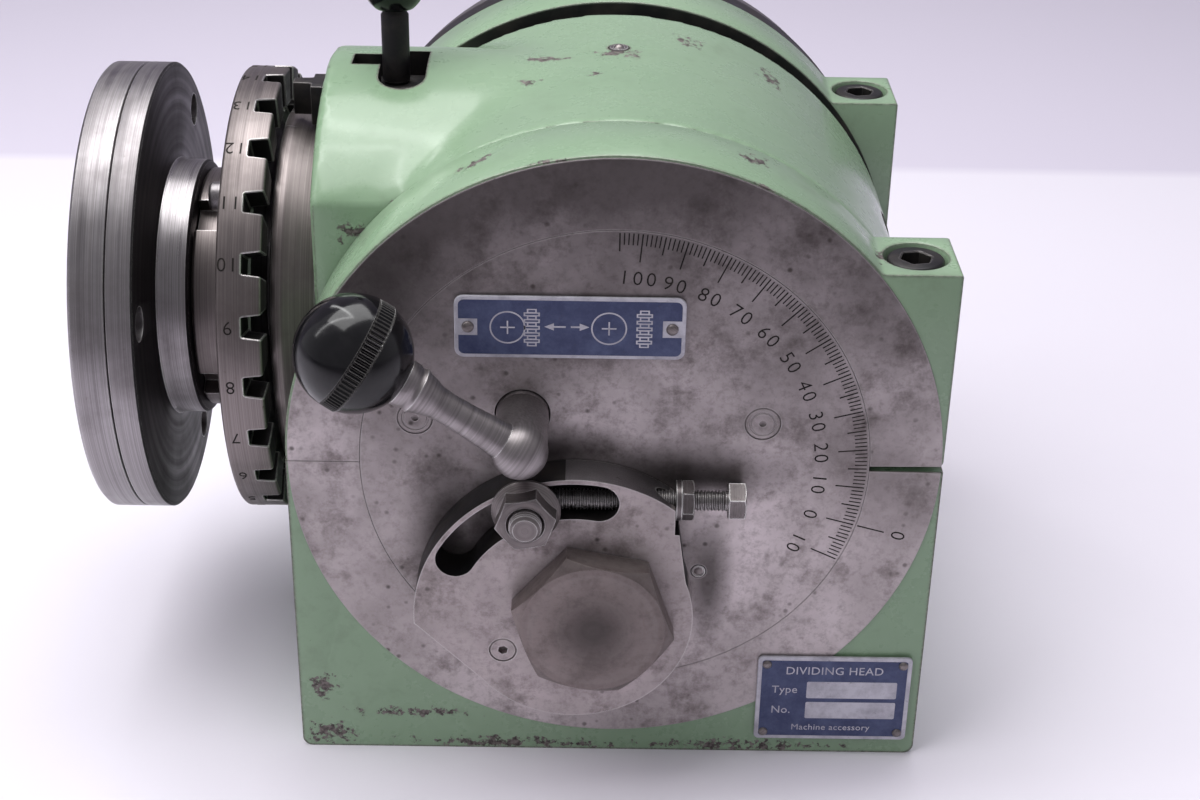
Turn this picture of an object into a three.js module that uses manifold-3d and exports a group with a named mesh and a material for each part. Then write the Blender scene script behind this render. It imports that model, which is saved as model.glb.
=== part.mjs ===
// Semi-universal dividing head. Millimetres, +Z up, origin under the swivel axis on the base's foot.
// The swivel axis runs along Y, the spindle along X with its nose towards -X, the front face is -Y.
import * as THREE from 'three';
import { mergeVertices } from 'three/addons/utils/BufferGeometryUtils.js';
import Module from 'manifold-3d';

const wasm = await Module();
wasm.setup();

// driving dimensions
const swivelZ = 100;                    // centre height of the swivel axis
const spindleZ = 116;                   // centre height of the spindle
const faceY = 82;                       // front and rear faces of the base, from the middle
const ringThick = 27;
const ringOuter = 93;
const ringBore = 72;
const ringInnerY = faceY - ringThick;
const splitGap = 2;                     // clamp slot on the right
const parting = 0.3;                    // gap left between pieces that touch
const lug = { top: 160, screwX: 81.7, headR: 8, holeR: 9, headDeep: 10 };
const capBoltX = -82.5;
const saddle = { height: 22, radius: 94.5 };
const drum = { radius: 92.7, rearY: 44, grooveR: 87, trunnionR: 71.7 };
const nose = { radius: 75, endX: -86.5, boreR: 49, boreEndX: 14, tailBoreR: 26 };
const sleeve = { x: -11, z: 56, radius: 22.5, boreR: 22.8, holeR: 14.5 };      // eccentric sleeve
const worm = { x: -5.5, z: 58, pitchR: 12, shaftR: 9, bushR: 13.8, halfThread: 15 };
const wheelTeeth = 40;
const wheelPitchR = spindleZ - worm.z - worm.pitchR;
const gearModule = 2 * wheelPitchR / wheelTeeth;
const toothRise = 1.8;                  // stub addendum
const lever = { x: -26, z: 116, shaftR: 7.4, elbowY: -103, knobX: -69.6, knobZ: 144.8, knobR: 16 };
const stud = { radius: 4.6, angle: 110.4, slotR: 39, slotHalf: 5.6, from: 80, to: 150 };
const stopNutX = 17.4;
const plateScrewPlace = [-31.4, 44.7];
const plate = { front: -94, back: -82.4, bigR: 46, smallR: 34.2 };
const plunger = { y: 0, z: 178, half: 6, rodX: -66.2, toothX: -97 };
const indexPlate = { left: -112.9, right: -100.1, radius: 68.5, notches: 24, deep: 5.6 };
const flange = { radius: 69.2, left: -154.3, seam: -143.8, right: -136, holeR: 5, holePcr: 60 };
const cover = { radius: 91.5, front: 82.4, back: 98, cavityR: 74 };
const holePlate = { front: 105.5, back: 112.5, radius: 89, holes: 24, holeR: 2.1, circleR: 72 };
const pairTeeth = 17;                   // the two equal gears between crank and worm
const gearY = { front: 85, back: 92 };
const spigotR = 14;
const crankR = 8;

// colours
const paint = { color: 0x7fa77f, roughness: 0.35, metalness: 0.1 };
const iron = { color: 0x8a8480, roughness: 0.6, metalness: 0.8 };
const steel = { color: 0xa3a09f, roughness: 0.35, metalness: 0.95 };
const darkSteel = { color: 0x2b2a2c, roughness: 0.5, metalness: 0.7 };
const bronze = { color: 0xb08a4a, roughness: 0.4, metalness: 0.9 };
const phenolic = { color: 0x0e0e10, roughness: 0.15, metalness: 0 };
const plateBlue = { color: 0x3b4a78, roughness: 0.4, metalness: 0.3 };

// helpers
const rad = (degrees) => degrees * Math.PI / 180;
const polar = (cx, cz, r, degrees) => [cx + r * Math.cos(rad(degrees)), cz + r * Math.sin(rad(degrees))];
const fan = (cx, cz, r, from, to, steps) =>
  Array.from({ length: steps + 1 }, (_, i) => polar(cx, cz, r, from + (to - from) * i / steps));

function solid(geometry) {
  const bare = geometry.index ? geometry.toNonIndexed() : geometry.clone();
  bare.deleteAttribute('normal');
  bare.deleteAttribute('uv');
  const merged = mergeVertices(bare, 1e-4);
  const points = merged.attributes.position.array;
  const index = merged.index.array;
  const corner = (i) => new THREE.Vector3().fromArray(points, index[i] * 3);
  const triangles = [];
  let volume = 0;
  for (let i = 0; i < index.length; i += 3) {
    if (index[i] === index[i + 1] || index[i + 1] === index[i + 2] || index[i] === index[i + 2]) continue;
    triangles.push([index[i], index[i + 1], index[i + 2]]);
    volume += corner(i).dot(corner(i + 1).cross(corner(i + 2)));
  }
  if (volume < 0) triangles.forEach((t) => t.reverse());
  return new wasm.Manifold(new wasm.Mesh({
    numProp: 3, vertProperties: new Float32Array(points), triVerts: new Uint32Array(triangles.flat()),
  }));
}

const alongX = new THREE.Matrix4().set(0, 0, 1, 0, 1, 0, 0, 0, 0, 1, 0, 0, 0, 0, 0, 1);

// outlines: an (x, z) outline for prismY, (y, z) for prismX, (x, y) for prismZ
function prism(shape, depth, segments) {
  return new THREE.ExtrudeGeometry(shape, { depth, bevelEnabled: false, curveSegments: segments });
}
function prismY(shape, y0, y1, segments = 12) {
  return solid(prism(shape, y1 - y0, segments).rotateX(Math.PI / 2).translate(0, y1, 0));
}
function prismX(shape, x0, x1, segments = 12) {
  return solid(prism(shape, x1 - x0, segments).applyMatrix4(alongX).translate(x0, 0, 0));
}
function prismZ(shape, z0, z1, segments = 12) {
  return solid(prism(shape, z1 - z0, segments).translate(0, 0, z0));
}
function box(x0, x1, y0, y1, z0, z1) {
  const block = new THREE.BoxGeometry(x1 - x0, y1 - y0, z1 - z0);
  return solid(block.translate((x0 + x1) / 2, (y0 + y1) / 2, (z0 + z1) / 2));
}
function outline(points) {
  const shape = new THREE.Shape();
  shape.setFromPoints(points.map(([a, b]) => new THREE.Vector2(a, b)));
  return shape;
}
// turned pieces: the profile lists [position along the axis, radius] and closes on the axis or on itself
function turned(profile, segments) {
  const points = profile.map(([along, r]) => new THREE.Vector2(r, along));
  return new THREE.LatheGeometry(points, segments);
}
function turnedY(profile, x, z, segments = 32) {
  return solid(turned(profile, segments).translate(x, 0, z));
}
function turnedX(profile, y, z, segments = 32) {
  return solid(turned(profile, segments).rotateZ(-Math.PI / 2).translate(0, y, z));
}
function turnedZ(profile, x, y, segments = 24) {
  return solid(turned(profile, segments).rotateX(Math.PI / 2).translate(x, y, 0));
}
const rod = (a, b, r) => [[a, 0], [a, r], [b, r], [b, 0]];
const chamferedRod = (a, b, r, c) => [[a, 0], [a, r - c], [a + c, r], [b - c, r], [b, r - c], [b, 0]];
const tube = (a, b, outer, inner) => [[a, inner], [a, outer], [b, outer], [b, inner], [a, inner]];

function hexagon(cx, cy, acrossFlats, turn = 0) {
  const corners = [];
  for (let k = 0; k < 6; k++) corners.push(polar(cx, cy, acrossFlats / Math.sqrt(3), turn + 60 * k));
  return outline(corners);
}
// a rod between two points in space
function strut(from, to, profile, segments = 14) {
  const start = new THREE.Vector3(...from);
  const along = new THREE.Vector3(...to).sub(start);
  const up = new THREE.Vector3(0, 1, 0);
  const turn = new THREE.Quaternion().setFromUnitVectors(up, along.clone().normalize());
  return solid(turned(profile(along.length()), segments).applyQuaternion(turn).translate(...from));
}
function ball(x, y, z, r, segments = 20) {
  return solid(new THREE.SphereGeometry(r, segments, segments / 2).translate(x, y, z));
}

const head = new THREE.Group();

function piece(name, shape, look) {
  const { vertProperties, triVerts } = shape.getMesh();
  const geometry = new THREE.BufferGeometry();
  geometry.setAttribute('position', new THREE.BufferAttribute(new Float32Array(vertProperties), 3));
  geometry.setIndex(new THREE.BufferAttribute(new Uint32Array(triVerts), 1));
  const mesh = new THREE.Mesh(geometry, new THREE.MeshStandardMaterial(look));
  mesh.name = name;
  head.add(mesh);
}

// base: two half-ring pedestals on a saddle, with a bolted cap over each ring
function pedestalOutline() {
  const corner = 3;
  const top = swivelZ - splitGap / 2;
  const leftTop = swivelZ - parting / 2;
  const shape = new THREE.Shape();
  shape.moveTo(-ringOuter + corner, 0);
  shape.lineTo(ringOuter - corner, 0);
  shape.absarc(ringOuter - corner, corner, corner, -Math.PI / 2, 0, false);
  shape.lineTo(ringOuter, top);
  const rightAngle = Math.asin((top - swivelZ) / ringBore);
  shape.absarc(0, swivelZ, ringBore, rightAngle, -Math.PI, true);
  shape.lineTo(-ringOuter, leftTop);
  shape.lineTo(-ringOuter, corner);
  shape.absarc(-ringOuter + corner, corner, corner, Math.PI, 1.5 * Math.PI, false);
  return shape;
}

function base() {
  let body = prismY(pedestalOutline(), -faceY, -ringInnerY, 18)
    .add(prismY(pedestalOutline(), ringInnerY, faceY, 18));
  const floor = box(-ringOuter, ringOuter, -ringInnerY - 1, ringInnerY + 1, 0, saddle.height)
    .subtract(turnedY(rod(-ringInnerY, ringInnerY, saddle.radius), 0, swivelZ, 48));
  body = body.add(floor);
  for (const side of [-1, 1]) {
    const y = side * (faceY - ringThick / 2);
    body = body.subtract(turnedZ(rod(60, swivelZ + 1, 5.3), lug.screwX, y, 12));
    body = body.subtract(turnedZ(rod(-1, 62, 7.3), capBoltX, y, 12));
    body = body.subtract(turnedZ(rod(61, 101, 4.6), capBoltX, y, 12));
    body = body.subtract(box(-8, 8, y - 9, y + 9, -1, 4));
  }
  piece('base', body, paint);
}

function ringCap(name, y0) {
  const lugMeet = Math.asin((lug.top - swivelZ) / ringOuter);
  const bottom = swivelZ + splitGap / 2;
  const shape = new THREE.Shape();
  shape.moveTo(-ringOuter, swivelZ + parting / 2);
  shape.absarc(0, swivelZ, ringOuter, Math.PI, lugMeet, true);
  shape.lineTo(ringOuter, lug.top);
  shape.lineTo(ringOuter, bottom);
  shape.absarc(0, swivelZ, ringBore, Math.asin((bottom - swivelZ) / ringBore), Math.PI, false);
  const y = y0 + ringThick / 2;
  const seat = lug.top - lug.headDeep - 0.8;
  const cap = prismY(shape, y0, y0 + ringThick, 18)
    .subtract(turnedZ(rod(seat, lug.top + 1, lug.holeR), lug.screwX, y, 20))
    .subtract(turnedZ(rod(90, lug.top, 5.6), lug.screwX, y, 12))
    .subtract(turnedZ(rod(90, 128, 4.4), capBoltX, y, 12));
  piece(name, cap, paint);
}

function socketScrew(name, x, y, headFrom, headTo, headR, shankTo, shankR, key) {
  const up = headTo > headFrom ? 1 : -1;
  const profile = [[headTo, 0], [headTo, headR], [headFrom, headR], [headFrom, shankR], [shankTo, shankR],
    [shankTo, 0]];
  const screw = turnedZ(profile, x, y, 12);
  const [low, high] = up > 0 ? [headTo - key * 0.6, headTo + 1] : [headTo - 1, headTo + key * 0.6];
  piece(name, screw.subtract(prismZ(hexagon(x, y, key), low, high)), darkSteel);
}

function baseFasteners() {
  for (const [name, side] of [['front', -1], ['rear', 1]]) {
    const y = side * (faceY - ringThick / 2);
    const seat = lug.top - lug.headDeep - 0.5;
    socketScrew(`${name}_clamp_screw`, lug.screwX, y, seat, seat + lug.headDeep, lug.headR, 66, 5, 8);
    socketScrew(`${name}_cap_bolt`, capBoltX, y, 61.7, 53.7, 6.5, 122, 4, 6);
  }
}

function roundedPlate(cx, cz, width, height, corner) {
  const w = width / 2;
  const h = height / 2;
  const shape = new THREE.Shape();
  shape.moveTo(cx - w + corner, cz - h);
  shape.absarc(cx + w - corner, cz - h + corner, corner, -Math.PI / 2, 0, false);
  shape.absarc(cx + w - corner, cz + h - corner, corner, 0, Math.PI / 2, false);
  shape.absarc(cx - w + corner, cz + h - corner, corner, Math.PI / 2, Math.PI, false);
  shape.absarc(cx - w + corner, cz - h + corner, corner, Math.PI, 1.5 * Math.PI, false);
  return shape;
}

// swivel body: drum, trunnions and nose housing in one casting
function swivelBody() {
  const { radius, rearY, grooveR, trunnionR } = drum;
  const inner = ringInnerY - parting;
  const drumSolid = turnedY([[-faceY, 0], [-faceY, trunnionR], [-inner, trunnionR], [-inner, radius],
    [rearY, radius], [rearY, grooveR], [inner, grooveR], [inner, trunnionR], [faceY, trunnionR],
    [faceY, 0]], 0, swivelZ, 56);
  const noseSolid = turnedX([[nose.endX, 0], [nose.endX, nose.radius - 2], [nose.endX + 2, nose.radius],
    [0, nose.radius], [0, 0]], 0, spindleZ, 40).intersect(box(-100, 1, -inner, inner, 0, 220));
  let body = drumSolid.subtract(box(-100, nose.endX, -inner - 1, inner + 1, 0, 220)).add(noseSolid);
  body = body.subtract(turnedX(rod(nose.endX - 1, nose.boreEndX, nose.boreR), 0, spindleZ, 32));
  body = body.subtract(turnedX(rod(nose.boreEndX - 1, 95, nose.tailBoreR), 0, spindleZ, 24));
  body = body.subtract(turnedY(rod(-faceY - 1, faceY + 1, sleeve.boreR), sleeve.x, sleeve.z, 32));
  body = body.subtract(turnedY(rod(-faceY - 1, -45, lever.shaftR + 0.4), lever.x, lever.z, 16));
  body = body.subtract(turnedY(rod(66, faceY + 1, crankR + 0.3), 0, swivelZ, 16));
  body = body.subtract(turnedY(rod(-faceY - 1, -60, stud.radius + 0.3), ...studPlace(), 12));
  for (const [x, z] of facePlugs) {
    body = body.subtract(turnedY(rod(-faceY - 1, -76, 5.4), x, z, 12));
  }
  body = body.subtract(turnedZ(rod(187, 200, 3.3), 0, 9, 10));
  body = body.subtract(turnedY(rod(-faceY - 1, -78, 2.3), ...faceOilerPlace, 8));
  const { half, y, z, rodX } = plunger;
  const way = half + parting;
  body = body.subtract(box(nose.endX - 1, -44, y - way, y + way, z - way, z + way));
  piece('swivel_body', body.subtract(bayonetSlot(y, rodX)), paint);
}

// L-shaped opening over the index plunger: a wide leg along Y and a narrow arm towards the nose
function bayonetSlot(y, rodX) {
  const half = 6.9;
  const centre = rodX + 2.7;
  const wide = new THREE.Shape();
  wide.moveTo(centre - half, 7);
  wide.lineTo(centre - half, -14);
  wide.absarc(centre, -14, half, Math.PI, 2 * Math.PI, false);
  wide.lineTo(centre + half, 7);
  return prismZ(wide, spindleZ + nose.boreR + 8, 200, 8)
    .add(box(rodX - 12.6, rodX, y - 4.5, y + 4.5, 175, 200));
}

const facePlugs = [[41.1, 114], [-56, 114.3]];
const faceOilerPlace = [25, 65];
const studPlace = () => polar(sleeve.x, sleeve.z, stud.slotR, stud.angle);

function swivelFittings() {
  const [studX, studZ] = studPlace();
  piece('slot_stud', turnedY(chamferedRod(-106, -62, stud.radius, 0.8), studX, studZ, 14), steel);
  const nut = turnedY(tube(-97.3, -94.3, 9.7, stud.radius + 0.3), studX, studZ, 18)
    .add(prismY(hexagon(studX, studZ, 15, 10), -103, -97.3))
    .subtract(turnedY(rod(-104, -94, stud.radius + 0.3), studX, studZ, 18));
  piece('slot_flange_nut', nut, steel);
  facePlugs.forEach(([x, z], i) => {
    piece(`face_plug_${['right', 'left'][i]}`, turnedY(rod(-faceY + 0.1, -76.4, 5), x, z, 14), iron);
  });
  const drumOiler = turnedZ([[187.4, 0], [187.4, 3], [192.6, 3], [193.2, 2], [193.5, 0]], 0, 9, 10);
  piece('drum_oiler', drumOiler, steel);
  piece('face_oiler', turnedY(rod(-82.2, -78.4, 2), ...faceOilerPlace, 8), steel);
  piece('lever_plate', prismY(roundedPlate(-13, 143.5, 63, 18.5, 2.5), -83.4, -82.4, 4), plateBlue);
  const bearingCap = turnedX([[-99.7, 30.5], [-99.7, 56], [-98.7, 57], [-95.2, 57], [-93.6, 55],
    [-92.8, 54.4], [-86.8, 54.4],
    [-86.8, 48.6], [-78, 48.6], [-78, 30.5], [-99.7, 30.5]], 0, spindleZ, 32)
    .subtract(box(-101, -86, plunger.y - 6.4, plunger.y + 6.4, plunger.z - 6.4, 190));
  piece('nose_bearing_cap', bearingCap, steel);
  piece('front_bearing_bush', turnedX(tube(-77.6, -62.4, 48.4, 30), 0, spindleZ, 28), bronze);
  piece('rear_bearing_bush', turnedX(tube(14.4, 58, 25.5, 18), 0, spindleZ, 24), bronze);
  piece('tail_cover', turnedX(tube(77, 81.5, 25.6, 10), 0, spindleZ, 24), iron);
}

// spindle and what turns with it
function spindleGroup() {
  const shape = [[-149, 13], [-149, 18], [-143.7, 18], [-143.7, 22], [-127, 22], [-127, 25], [-100, 25],
    [-100, 29.6], [-62, 29.6], [-62, 34], [-50, 34], [-50, 24], [14, 24], [14, 17.7], [66, 17.7], [66, 15],
    [76.5, 15], [76.5, 9], [-80, 9], [-149, 13]];
  piece('spindle', turnedX(shape, 0, spindleZ, 20), steel);
  piece('spindle_spacer', turnedX(tube(-49.7, -18.3, 30, 24.4), 0, spindleZ, 24), steel);
  piece('wheel_nut', turnedX(tube(8.3, 13.7, 32, 24.4), 0, spindleZ, 24), steel);
  piece('tail_nut', turnedX(tube(66.3, 75, 21, 15.3), 0, spindleZ, 20), steel);
  piece('worm_wheel', wormWheel(), bronze);
  piece('index_plate', notchedPlate(), steel);
  let nut = turnedX(tube(-125.8, -113.3, 37, 25.4), 0, spindleZ, 28);
  for (let k = 0; k < 4; k++) {
    const [y, z] = polar(0, spindleZ, 37, 30 + 90 * k);
    const slot = new THREE.BoxGeometry(14, 11, 11).rotateX(rad(30 + 90 * k)).translate(-119.5, y, z);
    nut = nut.subtract(solid(slot));
  }
  piece('slotted_nose_nut', nut, steel);
  const [pinY, pinZ] = polar(0, spindleZ, 48, 122);
  const pin = [[-119.5, 0], [-119.5, 3.2], [-118.5, 4.2], [-113.3, 4.2], [-113.3, 0]];
  piece('index_plate_screw', turnedX(pin, pinY, pinZ, 12), steel);
  const { radius, left, seam, right, holeR, holePcr } = flange;
  let back = turnedX([[seam + 0.2, 22.5], [seam + 0.2, radius], [right, radius], [right, 39.5],
    [-126.2, 39.5], [-126.2, 25.7],
    [-127.3, 25.7], [-127.3, 22.5], [seam + 0.2, 22.5]], 0, spindleZ, 36);
  let front = turnedX(tube(left, seam - 0.2, radius, 18.5), 0, spindleZ, 36);
  for (let k = 0; k < 3; k++) {
    const [y, z] = polar(0, spindleZ, holePcr, 46 + 120 * k);
    back = back.subtract(turnedX(rod(left - 1, right + 1, holeR), y, z, 12));
    front = front.subtract(turnedX(rod(left - 1, right + 1, holeR), y, z, 12));
    const [sy, sz] = polar(0, spindleZ, 33, 106 + 120 * k);
    front = front.subtract(turnedX(rod(left - 1, left + 6, 5.4), sy, sz, 12));
    front = front.subtract(turnedX(rod(left, right, 3.4), sy, sz, 8));
    back = back.subtract(turnedX(rod(left, -132, 3.4), sy, sz, 8));
    const screw = turnedX([[left + 0.6, 0], [left + 0.6, 5], [left + 5.7, 5], [left + 5.7, 3],
      [-134, 3], [-134, 0]], sy, sz, 10);
    piece(`flange_screw_${k + 1}`, screw.subtract(prismX(hexagon(sy, sz, 5), left, left + 3.6)), darkSteel);
  }
  piece('spindle_flange', back, steel);
  piece('face_plate', front, steel);
}

// 24 trapezoid notches cut from the body side through the rim wall
function notchedPlate() {
  const { left, right, radius, notches, deep } = indexPlate;
  const profile = [[left, 25.5], [left, radius], [right, radius], [right, 58], [right - 4.9, 58],
    [right - 4.9, 25.5],
    [left, 25.5]];
  let disc = turnedX(profile, 0, spindleZ, 48);
  const mouth = 7.1;
  const bottom = 5.7;
  const notch = outline([[right - deep, -bottom / 2], [right + 0.5, -mouth / 2],
    [right + 0.5, mouth / 2], [right - deep, bottom / 2]]);
  for (let k = 0; k < notches; k++) {
    const cutter = prism(notch, 14, 1).translate(0, 0, 56).rotateX(rad(360 * k / notches));
    disc = disc.subtract(solid(cutter.translate(0, 0, spindleZ)));
  }
  return disc;
}

// 40-tooth wheel, its teeth leaning with the worm's lead and a gap at the bottom
function wormWheel() {
  const pitch = 360 / wheelTeeth;
  const tip = wheelPitchR + toothRise;
  const root = wheelPitchR - toothRise - 0.4;
  const width = 14;
  const points = [];
  for (let k = 0; k < wheelTeeth; k++) {
    const middle = -90 + pitch * (k + 0.5);
    for (const [r, share] of [[root, -0.33], [tip, -0.115], [tip, 0.115], [root, 0.33]]) {
      points.push(polar(0, 0, r, middle + share * pitch));
    }
  }
  const geometry = prism(outline(points), width, 12);
  geometry.applyMatrix4(alongX).translate(-width / 2, 0, 0);
  const lean = gearModule / (2 * worm.pitchR) / wheelPitchR;      // radians per millimetre of width
  const position = geometry.attributes.position;
  for (let i = 0; i < position.count; i++) {
    const at = new THREE.Vector3().fromBufferAttribute(position, i);
    at.applyAxisAngle(new THREE.Vector3(1, 0, 0), lean * at.x);
    position.setXYZ(i, at.x, at.y, at.z);
  }
  return solid(geometry.translate(worm.x, 0, spindleZ))
    .add(turnedX(rod(-18, 8, 32), 0, spindleZ, 24))
    .subtract(turnedX(rod(-20, 10, 24.4), 0, spindleZ, 24));
}

// worm: shaft with a right-hand thread whose crest is on top at the middle
function wormShaft() {
  const perTurn = 16;
  const lead = Math.PI * gearModule;
  const tip = worm.pitchR + toothRise;
  const root = worm.pitchR - toothRise - 0.4;
  const turns = Math.floor(2 * worm.halfThread / lead);
  const steps = turns * perTurn;
  const rootHalf = lead * 0.31;
  const tipHalf = lead * 0.12;
  const section = [[root - 1, -rootHalf], [root, -rootHalf], [tip, -tipHalf], [tip, tipHalf],
    [root, rootHalf], [root - 1, rootHalf]];
  const points = [];
  const triangles = [];
  for (let i = 0; i <= steps; i++) {
    const turn = 2 * Math.PI * (i / perTurn - turns / 2);
    const y = lead * turn / (2 * Math.PI);
    for (const [r, offset] of section) points.push(r * Math.sin(turn), y + offset, r * Math.cos(turn));
    if (i === steps) continue;
    for (let j = 0; j < section.length; j++) {
      const a = i * section.length + j;
      const b = i * section.length + (j + 1) % section.length;
      triangles.push(a, b, a + section.length, b, b + section.length, a + section.length);
    }
  }
  const last = steps * section.length;
  for (let j = 1; j < section.length - 1; j++) triangles.push(0, j + 1, j, last, last + j, last + j + 1);
  const thread = new THREE.BufferGeometry();
  thread.setAttribute('position', new THREE.BufferAttribute(new Float32Array(points), 3));
  thread.setIndex(triangles);
  const shaft = turnedY([[-79, 0], [-79, worm.shaftR], [-26, worm.shaftR], [-26, root], [26, root],
    [26, worm.shaftR],
    [93, worm.shaftR], [93, 0]], worm.x, worm.z, 16);
  piece('worm_shaft', solid(thread.translate(worm.x, 0, worm.z)).add(shaft), steel);
}

// equal gear pair: one has a tooth on the line of centres, the other a gap
function pairGear(name, x, z, boreR, firstTooth) {
  const centres = Math.hypot(worm.x, worm.z - swivelZ);
  const pitchR = centres / 2;
  const module = centres / pairTeeth;
  const points = [];
  for (let k = 0; k < pairTeeth; k++) {
    const middle = firstTooth + 360 * k / pairTeeth;
    for (const [r, share] of [[pitchR - 1.2 * module, -0.34], [pitchR, -0.215],
      [pitchR + 0.85 * module, -0.09],
      [pitchR + 0.85 * module, 0.09], [pitchR, 0.215], [pitchR - 1.2 * module, 0.34]]) {
      points.push(polar(x, z, r, middle + share * 360 / pairTeeth));
    }
  }
  const gear = prismY(outline(points), gearY.front, gearY.back)
    .subtract(turnedY(rod(80, 100, boreR), x, z, 16));
  piece(name, gear, steel);
}

// throw-out: eccentric sleeve, slotted plate and end cap
function throwOut() {
  const body = turnedY(rod(-81.6, 81.6, sleeve.radius), sleeve.x, sleeve.z, 32)
    .subtract(turnedY(rod(-83, 83, sleeve.holeR), worm.x, worm.z, 24))
    .subtract(box(-50, 30, -31, 31, sleeve.z, 100));
  piece('eccentric_sleeve', body, steel);
  piece('throw_out_plate', throwOutPlate(), iron);
  const cap = prismY(hexagon(worm.x, worm.z, 41, -11), -103, plate.front - parting)
    .intersect(turnedY([[-103, 0], [-103, 20], [-100.6, 24.2], [-94, 24.2], [-94, 0]], worm.x, worm.z, 24))
    .add(turnedY(rod(-95, -84, 14), worm.x, worm.z, 24));
  piece('worm_end_cap', cap, iron);
  piece('plate_screw', turnedY([[-93.8, 0], [-93.8, 3.9], [-83, 3.9], [-83, 0]], ...plateScrewPlace, 12)
    .subtract(prismY(hexagon(...plateScrewPlace, 3), -94, -91.5)), steel);
  const [, studZ] = studPlace();
  const y = (plate.front + plate.back) / 2;
  const screw = turnedX([[-19.4, 0], [-19.4, 2.6], [-18.6, 3], [32, 3], [32, 0]], y, studZ, 12)
    .add(prismX(hexagon(y, studZ, 10, 30), 31.9, 37));
  piece('stop_screw', screw, steel);
  piece('stop_screw_nut', prismX(hexagon(y, studZ, 10, 10), stopNutX, stopNutX + 5)
    .subtract(turnedX(rod(10, 30, 3.3), y, studZ, 12)), steel);
}

function throwOutPlate() {
  const { x, z } = sleeve;
  const { slotR, slotHalf, from, to } = stud;
  const shape = outline([...fan(x, z, plate.bigR, 52, 183, 20), ...fan(x, z, plate.smallR, 219, 382, 22)]);
  const slot = outline([
    ...fan(x, z, slotR + slotHalf, from, to, 12),
    ...fan(...polar(x, z, slotR, to), slotHalf, to + 22, to + 158, 6),
    ...fan(x, z, slotR - slotHalf, to, from, 12),
    ...fan(...polar(x, z, slotR, from), slotHalf, from + 202, from + 338, 6),
  ]);
  const [, studZ] = studPlace();
  const y = (plate.front + plate.back) / 2;
  return prismY(shape, plate.front, plate.back)
    .subtract(prismY(slot, plate.front - 1, plate.back + 1))
    .subtract(turnedY(rod(-100, -80, sleeve.holeR), worm.x, worm.z, 24))
    .subtract(turnedY(rod(-100, -80, 4.3), ...plateScrewPlace, 12))
    .subtract(turnedX(rod(-10, 40, 3.4), y, studZ, 12))
    .subtract(box(stopNutX - parting, 30, plate.front - 1, plate.back + 1, studZ - 8, studZ + 8));
}

// hand levers
function lockLever() {
  const reach = Math.hypot(lever.knobX - lever.x, lever.knobZ - lever.z);
  const elbow = [lever.x, lever.elbowY, lever.z];
  const knob = [lever.knobX, lever.elbowY, lever.knobZ];
  const arm = strut(elbow, knob, () => [[0, 0], [0, 5.2],
    [reach * 0.45, 4.3], [reach * 0.6, 5.4], [reach - lever.knobR - 1.2, 6.6],
    [reach - lever.knobR + 1.6, 6.6],
    [reach - lever.knobR + 1.6, 4], [reach - 9, 4], [reach - 9, 0]]);
  const shaft = turnedY(rod(lever.elbowY, -36.3, lever.shaftR), lever.x, lever.z, 16);
  const bend = ball(...elbow, 7.7, 16);
  piece('lock_lever', shaft.add(bend).add(arm), steel);
  const knobHole = strut(elbow, knob, () => [[0, 0], [0, 7],
    [reach - lever.knobR + 2, 7], [reach - lever.knobR + 2, 4.4], [reach - 8.5, 4.4], [reach - 8.5, 0]]);
  piece('lock_lever_knob', ball(...knob, lever.knobR, 20).subtract(knobHole), phenolic);
  piece('spindle_lock_pad', turnedY(rod(-36, -30.6, lever.shaftR), lever.x, lever.z, 16), bronze);
}

function indexPlunger() {
  const { y, z, half, rodX, toothX } = plunger;
  const bar = box(-91.4, -52, y - half, y + half, z - half, z + half);
  const tooth = outline([[toothX, y - 2.3], [-91, y - 2.7], [-91, y + 2.7], [toothX, y + 2.3]]);
  const withTooth = bar.add(prismZ(tooth, z - 4, z + half));
  piece('index_plunger', withTooth.subtract(turnedZ(rod(z - 1, 200, 3.5), rodX, y, 12)), darkSteel);
  const leverProfile = [[z - 0.7, 0], [z - 0.7, 3.1], [z + half + 0.5, 3.1], [z + half + 0.5, 4.1],
    [205, 4.1],
    [206.7, 3], [210, 3], [210, 0]];
  piece('plunger_lever', turnedZ(leverProfile, rodX, y, 14), darkSteel);
  piece('plunger_knob', ball(rodX, y, 214, 9.5, 18).subtract(turnedZ(rod(190, 210.3, 3.4), rodX, y, 12))
    .subtract(box(-100, 0, -20, 20, 190, 207)), phenolic);
}

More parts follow.
